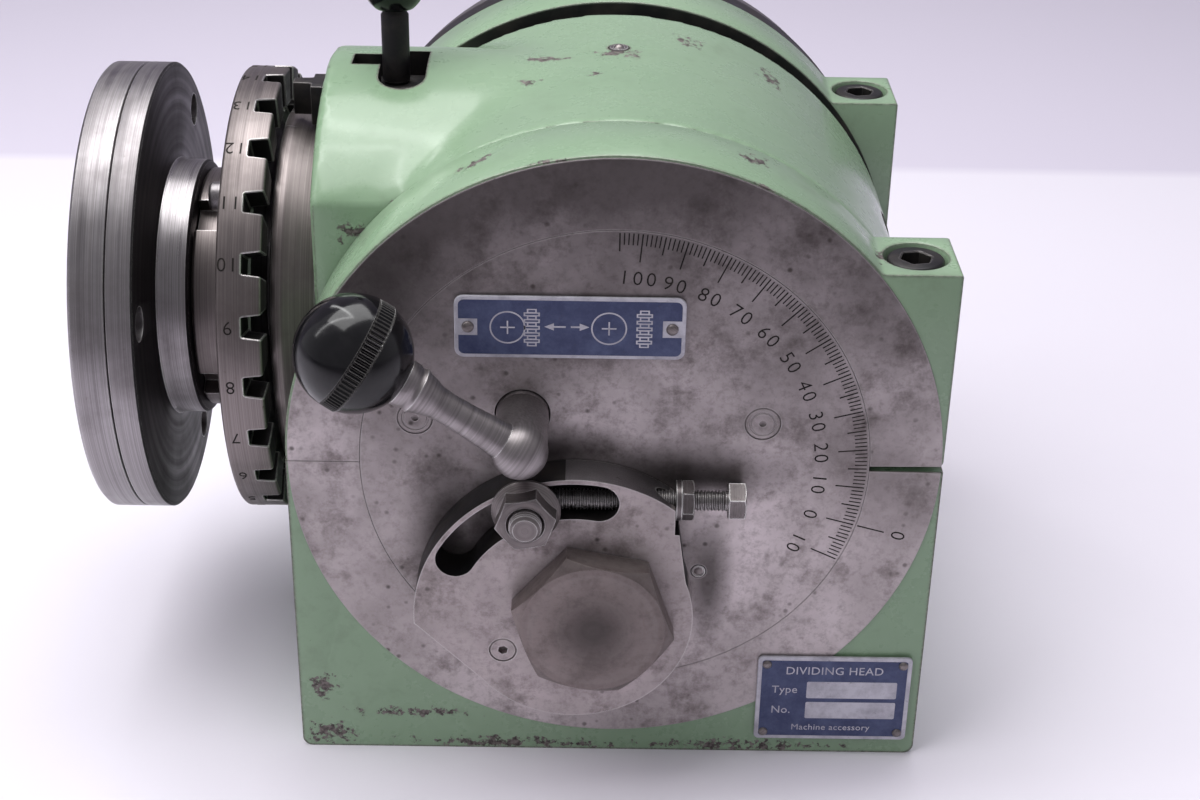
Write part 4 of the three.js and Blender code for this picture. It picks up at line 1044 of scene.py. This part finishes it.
# ---- plugs, oilers and sheet plates on the face ----
def makePlugs():
    for name, node, x, z in (("facePlugRight", "face_plug_right", 41.1, 114),
                             ("facePlugLeft", "face_plug_left", -56, 114.3)):
        plug = turned(name, [[-81.9, 0], [-81.9, 1.5], [-82.0, 1.7], [-82.0, 3.1], [-81.75, 3.3], [-81.75, 3.7],
                             [-82.0, 3.9], [-82.0, 4.6], [-81.7, 5], [-76.4, 5], [-76.4, 0]], "Y", (x, 0, z), 64)
        carve(plug, turned("centreMark", [[-84, 0], [-84, 1.3], [-81.2, 0.9], [-80.9, 0]], "Y", (x, 0, z), 32))
        fit(plug, "swivel", faceFinish, [node])
    for name, node, axis, at, profile in (
            ("drumOiler", "drum_oiler", "Z", (0, 9, 0), [[187.4, 0], [187.4, 3], [192.3, 3], [192.8, 2.8],
                                                         [192.9, 2.2], [192.6, 1.7], [192.9, 1.5], [193.5, 0.9],
                                                         [193.7, 0]]),
            ("faceOiler", "face_oiler", "Y", (25, 0, 65), [[-82.2, 0], [-82.2, 0.8], [-82.0, 1.2], [-81.9, 1.5],
                                                           [-82.15, 1.7], [-82.1, 2], [-78.4, 2], [-78.4, 0]])):
        fit(turned(name, profile, axis, at, 40), "swivel", smallSteel, [node], 50)


def inlay(name, outline, back, proud):
    return slab(name, outline, back - proud, back + 0.05)


def ringOutline(cx, cz, r, width, steps=40):
    return arc(cx, cz, r, 0, 359.9, steps) + arc(cx, cz, r - width, 359.9, 0, steps)


def makeLeverPlate():
    settings = {"centre": (-13, 143.5), "size": (63, 18.5), "corner": 2.5, "border": 1.1, "back": -82.4,
                "front": -83.3, "tab": (5.2, 5.0), "line": 0.42}
    cx, cz = settings["centre"]
    w, h = settings["size"]
    front, line = settings["front"], settings["line"]
    sheet = slab("leverPlate", roundedBox(cx, cz, w, h, settings["corner"]), front, settings["back"])
    soften(sheet, 0.18, 40, 1)
    fit(sheet, "swivel", whiteSheet, ["lever_plate"])
    tw, th = settings["tab"]
    left, right = cx - w / 2 + settings["border"], cx + w / 2 - settings["border"]
    low, high = cz - h / 2 + settings["border"], cz + h / 2 - settings["border"]
    c = 1.6
    field = [(left + tw, cz - th / 2), (left, cz - th / 2), *arc(left + c, low + c, c, 180, 270, 4),
             *arc(right - c, low + c, c, 270, 360, 4), (right, cz - th / 2), (right - tw, cz - th / 2),
             (right - tw, cz + th / 2), (right, cz + th / 2), *arc(right - c, high - c, c, 0, 90, 4),
             *arc(left + c, high - c, c, 90, 180, 4), (left, cz + th / 2), (left + tw, cz + th / 2)]
    fit(inlay("leverPlateField", field, front, 0.05), "swivel", blueSheet, ())
    signs = []
    for wheelX, wormX in ((cx - 17.0, cx - 10.4), (cx + 10.6, cx + 20.2)):
        signs.append(inlay("wheelSign", ringOutline(wheelX, cz, 4.9, line), front, 0.08))
        signs.append(inlay("crossSign", [(wheelX - 2, cz - 0.2), (wheelX + 2, cz - 0.2), (wheelX + 2, cz + 0.2),
                                         (wheelX - 2, cz + 0.2)], front, 0.08))
        signs.append(inlay("crossSign", [(wheelX - 0.2, cz - 2), (wheelX + 0.2, cz - 2), (wheelX + 0.2, cz + 2),
                                         (wheelX - 0.2, cz + 2)], front, 0.08))
        for k in range(-2, 3):
            signs.append(inlay("wormSign", frameOutline(wormX, cz + 2.0 * k, 4.4, 1.15, line), front, 0.08))
        for k in range(-3, 3):
            signs.append(inlay("wormSign", frameOutline(wormX, cz + 2.0 * k + 1.0, 2.7, 1.25, line), front, 0.075))
    for tip, tail in ((cx - 7.0, cx - 1.2), (cx + 5.2, cx + 0.2)):
        way = 1 if tail > tip else -1
        signs.append(inlay("arrowSign", [(tip, cz + 0.35), (tip + way * 2.6, cz - 0.75), (tip + way * 2.6, cz + 0.1),
                                         (tail, cz + 0.1), (tail, cz + 0.6), (tip + way * 2.6, cz + 0.6),
                                         (tip + way * 2.6, cz + 1.45)], front, 0.08))
    fit(unite("leverPlateSigns", signs), "swivel", whiteSheet, ())
    makeRivets("leverPlateRivets", [(left + 2.6, cz), (right - 2.6, cz)], 1.7, front, "swivel")


def frameOutline(cx, cz, w, h, line):
    a, b = w / 2, h / 2
    c, d = a - line, b - line * 0.8
    return [(cx - a, cz - b), (cx + a, cz - b), (cx + a, cz + b), (cx - a, cz + b), (cx - a, cz - b + 0.01),
            (cx - c, cz - d + 0.01), (cx - c, cz + d), (cx + c, cz + d), (cx + c, cz - d), (cx - c, cz - d)]


def makeRivets(name, places, radius, front, body):
    made = []
    for x, z in places:
        made.append(turned("rivet", [[front - 0.9, 0], [front - 0.9, radius * 0.35], [front - 0.75, radius * 0.7],
                                     [front - 0.4, radius * 0.95], [front, radius], [front + 0.3, radius],
                                     [front + 0.3, 0]], "Y", (x, 0, z), 32))
    fit(unite(name, made), body, smallSteel, (), 60)


def makeDataPlate():
    settings = {"centre": (67, 21), "size": (46, 30), "corner": 1.5, "border": 1.3, "back": -82.3, "front": -83.2}
    cx, cz = settings["centre"]
    w, h = settings["size"]
    front = settings["front"]
    sheet = slab("dataPlate", roundedBox(cx, cz, w, h, settings["corner"]), front, settings["back"])
    soften(sheet, 0.18, 40, 1)
    fit(sheet, "base", whiteSheet, ["data_plate"])
    edge = settings["border"] * 2
    fit(inlay("dataPlateField", roundedBox(cx, cz, w - edge, h - edge, 0.8), front, 0.05), "base", blueSheet, ())
    marks = [inlay("stampField", roundedBox(cx + 5.5, cz + dz, 27, 6.0, 0.5), front, 0.08) for dz in (3.2, -4.2)]
    for words, dx, dz, height in (("DIVIDING HEAD", 0, 10.0, 2.7), ("Type", -14.6, 3.2, 2.6),
                                  ("No.", -15.4, -4.2, 2.6), ("Machine accessory", 0, -10.6, 2.1)):
        where = facing(cx + dx, front - 0.05, cz + dz, (1, 0, 0), (0, 0, 1))
        marks.append(flatText("plateWord", words, height, where, 0.04, 1.05, 0.0))
    fit(unite("dataPlateMarks", marks), "base", whiteSheet, ())
    makeRivets("dataPlateRivets", [(cx + sx * 20.3, cz + sz * 12.3) for sx in (-1, 1) for sz in (-1, 1)], 1.4,
               front, "base")


makePlugs()
makeLeverPlate()
makeDataPlate()
print("stage: plates and plugs")

# ---- hand levers ----
clampLever = {"elbow": (-26, -103, 116), "knob": (-69.6, -103, 144.8), "knobR": 16, "shaftR": 7.4, "band": 2.6,
              "bandAt": -1.0, "flutes": 72, "fluteDeep": 0.75}


def makeClampLever():
    s = clampLever
    ex, ey, ez = s["elbow"]
    reach = (Vector(s["knob"]) - Vector(s["elbow"])).length
    shaft = turned("lockLever", [[-36.3, 0], [-36.3, s["shaftR"]], [-82.6, s["shaftR"]], [-83, 7.15], [-83.6, 7.15],
                                 [-84, s["shaftR"]], [ey, s["shaftR"]], [ey, 0]], "Y", (ex, 0, ez), 96)
    ballProfile = [[-7.7, 0]] + [[-7.7 * math.cos(math.radians(a)), 7.7 * math.sin(math.radians(a))]
                                 for a in range(8, 180, 8)] + [[7.7, 0]]
    elbowBall = turned("elbowBall", ballProfile, "Z", s["elbow"], 96, toward=s["knob"])
    neck = reach - s["knobR"]
    arm = turned("leverArm", [[0, 0], [0, 5.3], [6.5, 5.2], [8, 5.0], [reach * 0.32, 4.4], [reach * 0.45, 4.3],
                              [reach * 0.52, 4.6], [reach * 0.56, 5.4], [reach * 0.6, 5.9], [neck - 3.4, 6.5],
                              [neck - 2.6, 6.1], [neck - 1.9, 6.1], [neck - 1.2, 6.6], [neck + 1.4, 6.6],
                              [neck + 1.5, 4], [reach - 9, 4], [reach - 9, 0]], "Z", s["elbow"], 96, toward=s["knob"])
    carve(shaft, elbowBall, arm, operation="UNION")
    soften(shaft, 0.7, 40, 3)
    fit(shaft, "lock_lever", leverSteel, ["lock_lever"], 50)
    r = s["knobR"]
    lowBand, highBand = s["bandAt"] - s["band"], s["bandAt"] + s["band"]
    profile = [[-r, 0]]
    for degrees in range(4, 180, 4):
        along = -r * math.cos(math.radians(degrees))
        if lowBand - 0.3 < along < highBand + 0.3:
            continue
        profile.append([along, r * math.sin(math.radians(degrees))])
    band = [[lowBand, math.sqrt(r * r - lowBand ** 2)], [lowBand + 0.25, r - 0.45], [lowBand + 0.6, r - 0.02],
            [(lowBand + highBand) / 2, r - 0.03], [highBand - 0.6, r - 0.1], [highBand - 0.25, r - 0.5],
            [highBand, math.sqrt(r * r - highBand ** 2)]]
    profile = sorted([p for p in profile if p[0] < lowBand] + band + [p for p in profile if p[0] > highBand])
    profile.append([r, 0])
    away = [2 * k - e for k, e in zip(s["knob"], s["elbow"])]
    knob = turned("lockLeverKnob", profile, "Z", s["knob"], s["flutes"] * 2, toward=away)
    flute(knob, s["knob"], away, lowBand + 0.4, highBand - 0.4, s["flutes"], s["fluteDeep"])
    hole = turned("knobBore", [[0, 0], [0, 7.2], [neck + 1.9, 7.2], [neck + 1.9, 4.4], [reach - 8.5, 4.4],
                               [reach - 8.5, 0]], "Z", s["elbow"], 64, toward=s["knob"])
    carve(knob, hole)
    fit(knob, "lock_lever", phenolic, ["lock_lever_knob"], 24)


def flute(piece, centre, toward, low, high, count, deep):  # presses every other line of a turned band inwards
    middle = Vector(centre) * mm
    axis = (Vector(toward) * mm - middle).normalized()
    spin = Vector((0, 0, 1)).rotation_difference(axis)
    for vertex in piece.data.vertices:
        local = spin.inverted() @ (vertex.co - middle)
        if low * mm < local.z < high * mm and math.hypot(local.x, local.y) > 8 * mm:
            step = round(math.atan2(local.y, local.x) / (math.pi / count))
            if step % 2:
                inward = Vector((local.x, local.y, 0)).normalized() * deep * mm
                vertex.co = middle + spin @ (local - inward)


def makePlunger():
    settings = {"rod": (-66.2, 0), "half": 6, "z": 178, "rodR": 4.1, "knobAt": 214, "knobR": 9.2, "knobBase": 207}
    x, y = settings["rod"]
    z, half = settings["z"], settings["half"]
    bar = block("indexPlunger", (-91.4, -half, z - half), (-52, half, z + half))
    tooth = slab("plungerTooth", [(-97, -2.3), (-91, -2.7), (-91, 2.7), (-97, 2.3)], z - 4, z + half, "Z")
    carve(bar, tooth, operation="UNION")
    carve(bar, turned("rodHole", rod(z - 1, 200, 3.5), "Z", (x, y, 0), 32))
    soften(bar, 0.5, 40)
    fit(bar, "index_plunger", blackFinish, ["index_plunger"])
    lever = turned("plungerLever", [[z - 0.7, 0], [z - 0.7, 3.1], [z + half + 0.5, 3.1], [z + half + 0.5, 3.8],
                                    [z + half + 0.8, 4.1], [204.6, 4.1], [205.2, 3.7], [205.8, 3.5], [206.7, 3.0],
                                    [210, 3.0], [210, 0]], "Z", (x, y, 0), 64)
    fit(lever, "index_plunger", blackFinish, ["plunger_lever"], 40)
    r = settings["knobR"]
    rise = settings["knobBase"] - settings["knobAt"]
    start = math.degrees(math.acos(-rise / r))
    profile = [[rise, 3.4], [rise, r * math.sin(math.radians(start))]]
    profile += [[-r * math.cos(math.radians(a)), r * math.sin(math.radians(a))]
                for a in range(int(start) + 4, 178, 5)] + [[r, 0]]
    knob = turned("plungerKnob", [[settings["knobAt"] + a, q] for a, q in [[-3.7, 0], [-3.7, 3.4]] + profile],
                  "Z", (x, y, 0), 96)
    fit(knob, "index_plunger", phenolic, ["plunger_knob"], 45)


makeClampLever()
makePlunger()
print("stage: levers")

# ---- crank side ----
crankSide = {"coverR": 91.5, "coverBack": 98, "plateFront": 105.5, "plateBack": 112.5, "plateR": 89, "holes": 24,
             "holeR": 2.1, "holeCircle": 72, "spigotR": 14}


def makeCrankSide():
    s = crankSide
    axis = (0, 0, swivelHeight)
    cover = turned("gearCover", [[82.4, 74], [82.4, 91], [82.9, s["coverR"]], [96.5, s["coverR"]], [98, 90],
                                 [98, 26], [98.8, 24.6], [99.6, 24], [105.2, 24], [105.2, s["spigotR"]],
                                 [118.3, s["spigotR"]], [118.3, 8.3], [93.5, 8.3], [93.5, 74], [82.4, 74]],
                   "Y", axis, 160)
    fit(cover, "swivel", coverFinish, ["gear_cover"])
    disc = turned("holePlate", [[105.5, 14.4], [105.5, 88.4], [106.1, 89], [111.9, 89], [112.5, 88.4],
                                [112.5, 14.4], [105.5, 14.4]], "Y", axis, 160)
    tools = []
    for k in range(s["holes"]):
        x, z = polar(0, swivelHeight, s["holeCircle"], 90 + 360 * k / s["holes"])
        tools.append(turned("indexHole", rod(100, 120, s["holeR"]), "Y", (x, 0, z), 24))
    carve(disc, unite("indexHoles", tools))
    soften(disc, 0.25, 40, 1)
    fit(disc, "swivel", sideSteel, ["hole_plate"])
    for name, node, y, angle in (("sectorArmLeft", "sector_arm_left", 112.9, 102),
                                 ("sectorArmRight", "sector_arm_right", 115.1, 50)):
        blade = [polar(0, swivelHeight, 17, angle - 22), polar(0, swivelHeight, 82, angle - 2.2),
                 *arc(*polar(0, swivelHeight, 82.3, angle - 0.9), 1.7, angle - 40, angle + 60, 5),
                 polar(0, swivelHeight, 17, angle + 12)]
        arm = turned(name, rod(y, y + 2, 21), "Y", axis, 64)
        carve(arm, slab("sectorBlade", blade, y, y + 2), operation="UNION")
        carve(arm, turned("sectorBore", rod(100, 130, s["spigotR"] + 0.5), "Y", axis, 64))
        soften(arm, 0.3, 40, 1)
        fit(arm, node.replace("_arm", ""), sideSteel, [node])
    top = swivelHeight + s["holeCircle"]
    arm = slab("crankArm", arc(0, swivelHeight, 13, 175, 365, 24) + arc(0, top, 10, 10, 170, 20), 119, 126)
    carve(arm, turned("shaftWay", rod(110, 130, 8.3), "Y", axis, 48),
          turned("handleWay", rod(110, 130, 6.4), "Y", (0, 0, top), 48))
    soften(arm, 1.0, 40, 3)
    fit(arm, "crank", sideSteel, ["crank_arm"])
    nut = chamferedHex("crankNut", "Y", axis, 17, 127.3, 133, 0, 0.3, 1.3)
    carve(nut, turned("nutBore", rod(120, 140, 5.3), "Y", axis, 40))
    soften(nut, 0.2, 34, 1)
    fit(nut, "crank", smallSteel, ["crank_nut"])
    sleeve = turned("crankHandle", [[119, 3.3], [119, 6], [126.3, 6], [126.3, 8.4], [126.9, 9], [130, 9],
                                    [130.6, 8.4], [131.4, 8.4], [132, 9], [137.4, 9], [138, 8.4], [138, 3.3],
                                    [119, 3.3]], "Y", (0, 0, top), 72)
    fit(sleeve, "crank", sideSteel, ["crank_handle"])
    pin = turned("indexPin", [[117.6, 0], [117.6, 1], [118.4, 1.6], [126, 1.6], [126.4, 3], [156, 3], [156, 0]],
                 "Y", (0, 0, top), 40)
    fit(pin, "index_pin", sideSteel, ["index_pin"])
    grip = turned("indexPinKnob", [[148.5, 3.3], [148.5, 7.4], [149.1, 8], [152, 10.3], [156, 11.4], [161, 12.2],
                                   [166, 12.5], [168.8, 12.0], [170.8, 10.8], [172, 8.6], [172.5, 5.5], [172.5, 0]],
                  "Y", (0, 0, top), 96)
    carve(grip, turned("gripBore", rod(140, 156.3, 3.3), "Y", (0, 0, top), 40))
    fit(grip, "index_pin", phenolic, ["index_pin_knob"], 40)


makeCrankSide()
print("stage: crank side")

# ---- floor, wall, light and camera ----
studio = {"floor": tone(0.85, 0.81, 0.90), "wall": tone(0.70, 0.655, 0.76), "wallY": 2600, "away": tone(0.24, 0.22, 0.24),
          "near": -0.26, "far": -0.85, "edge": (0.40, 0.412), "beyond": tone(0.70, 0.655, 0.765),
           "skyFront": 0.30, "skyBack": 0.62}


def makeStage():
    for name, corners, colour in (
            ("floor", [(-6000, -6000, 0), (6000, -6000, 0), (6000, 6000, 0), (-6000, 6000, 0)], studio["floor"]),
            ("wall", [(-6000, studio["wallY"], 0), (6000, studio["wallY"], 0), (6000, studio["wallY"], 5000),
                      (-6000, studio["wallY"], 5000)], studio["wall"])):
        clearSelection()
        bpy.ops.mesh.primitive_plane_add(size=mm)
        sheet = bpy.context.object
        sheet.name = name
        for vertex, corner in zip(sheet.data.vertices, (corners[0], corners[1], corners[3], corners[2])):
            vertex.co = Vector(corner) * mm
        finish, tree, shader, place = newFinish(name, Roughness=0.55)
        haze = cloud(tree, place, 1.3, 3.0)
        tint = blendColour(tree, stretch(tree, haze, 0.3, 0.7, 0.0, 0.25), colour, tone(0.72, 0.70, 0.74))
        depth = put(tree, "ShaderNodeSeparateXYZ", {0: place}).outputs[1]
        # the floor turns darker towards -Y, in front of the object, which darkens what the face mirrors
        tint = blendColour(tree, stretch(tree, depth, studio["near"], studio["far"]), tint, studio["away"])
        tint = blendColour(tree, stretch(tree, depth, *studio["edge"]), tint, studio["beyond"])
        tree.links.new(tint, shader.inputs["Base Color"])
        sheet.data.materials.append(finish)


def makeLight(name, place, aim, size, power, mirrored=True):
    clearSelection()
    bpy.ops.object.light_add(type="AREA", location=Vector(place) * mm)
    lamp = bpy.context.object
    lamp.name = name
    lamp.data.shape = "RECTANGLE"
    lamp.data.size, lamp.data.size_y = size[0] * mm, size[1] * mm
    lamp.data.energy = power
    lamp.visible_glossy = mirrored
    lamp.rotation_mode = "QUATERNION"
    lamp.rotation_quaternion = (Vector(aim) - Vector(place)).to_track_quat("-Z", "Y")


def makeWorld():
    world = bpy.data.worlds.new("softRoom")
    bpy.context.scene.world = world
    world.use_nodes = True
    tree = world.node_tree
    back = tree.nodes["Background"]
    back.inputs["Color"].default_value = tone(0.95, 0.93, 1.0)
    direction = put(tree, "ShaderNodeTexCoord").outputs["Generated"]
    depth = put(tree, "ShaderNodeSeparateXYZ", {0: direction}).outputs[1]
    tree.links.new(stretch(tree, depth, -0.5, 0.6, studio["skyFront"], studio["skyBack"]), back.inputs["Strength"])


view = {"place": (-8.8, -574.1, 382.2), "yaw": -0.5, "pitch": 27.97, "roll": 1.075, "lens": 60.26, "sensor": 36}


def makeCamera():
    yaw, pitch, roll = (math.radians(view[k]) for k in ("yaw", "pitch", "roll"))
    ahead = Vector((-math.sin(yaw) * math.cos(pitch), math.cos(yaw) * math.cos(pitch), -math.sin(pitch)))
    right = ahead.cross(Vector((0, 0, 1))).normalized()
    up = right.cross(ahead)
    across = right * math.cos(roll) + up * math.sin(roll)
    above = up * math.cos(roll) - right * math.sin(roll)
    clearSelection()
    bpy.ops.object.camera_add()
    camera = bpy.context.object
    camera.matrix_world = (Matrix.Translation(Vector(view["place"]) * mm)
                           @ Matrix((across, above, -ahead)).transposed().to_4x4())
    camera.data.lens = view["lens"]
    camera.data.sensor_width = view["sensor"]
    camera.data.clip_start = 0.01
    bpy.context.scene.camera = camera


makeStage()
makeWorld()
makeLight("overheadBox", (-120, 180, 1150), (0, 40, 0), (1200, 800), 11.5)
makeLight("leftTube", (-420, -60, 760), (-60, 0, 150), (50, 900), 0.9)
makeLight("rearTube", (-260, 260, 800), (-60, 0, 150), (50, 700), 0.7)
makeLight("frontLeftBox", (-820, -420, 900), (-60, 0, 120), (900, 900), 5.4, mirrored=False)
makeCamera()
bpy.context.scene.view_settings.view_transform = "Standard"

print("stage: finished")
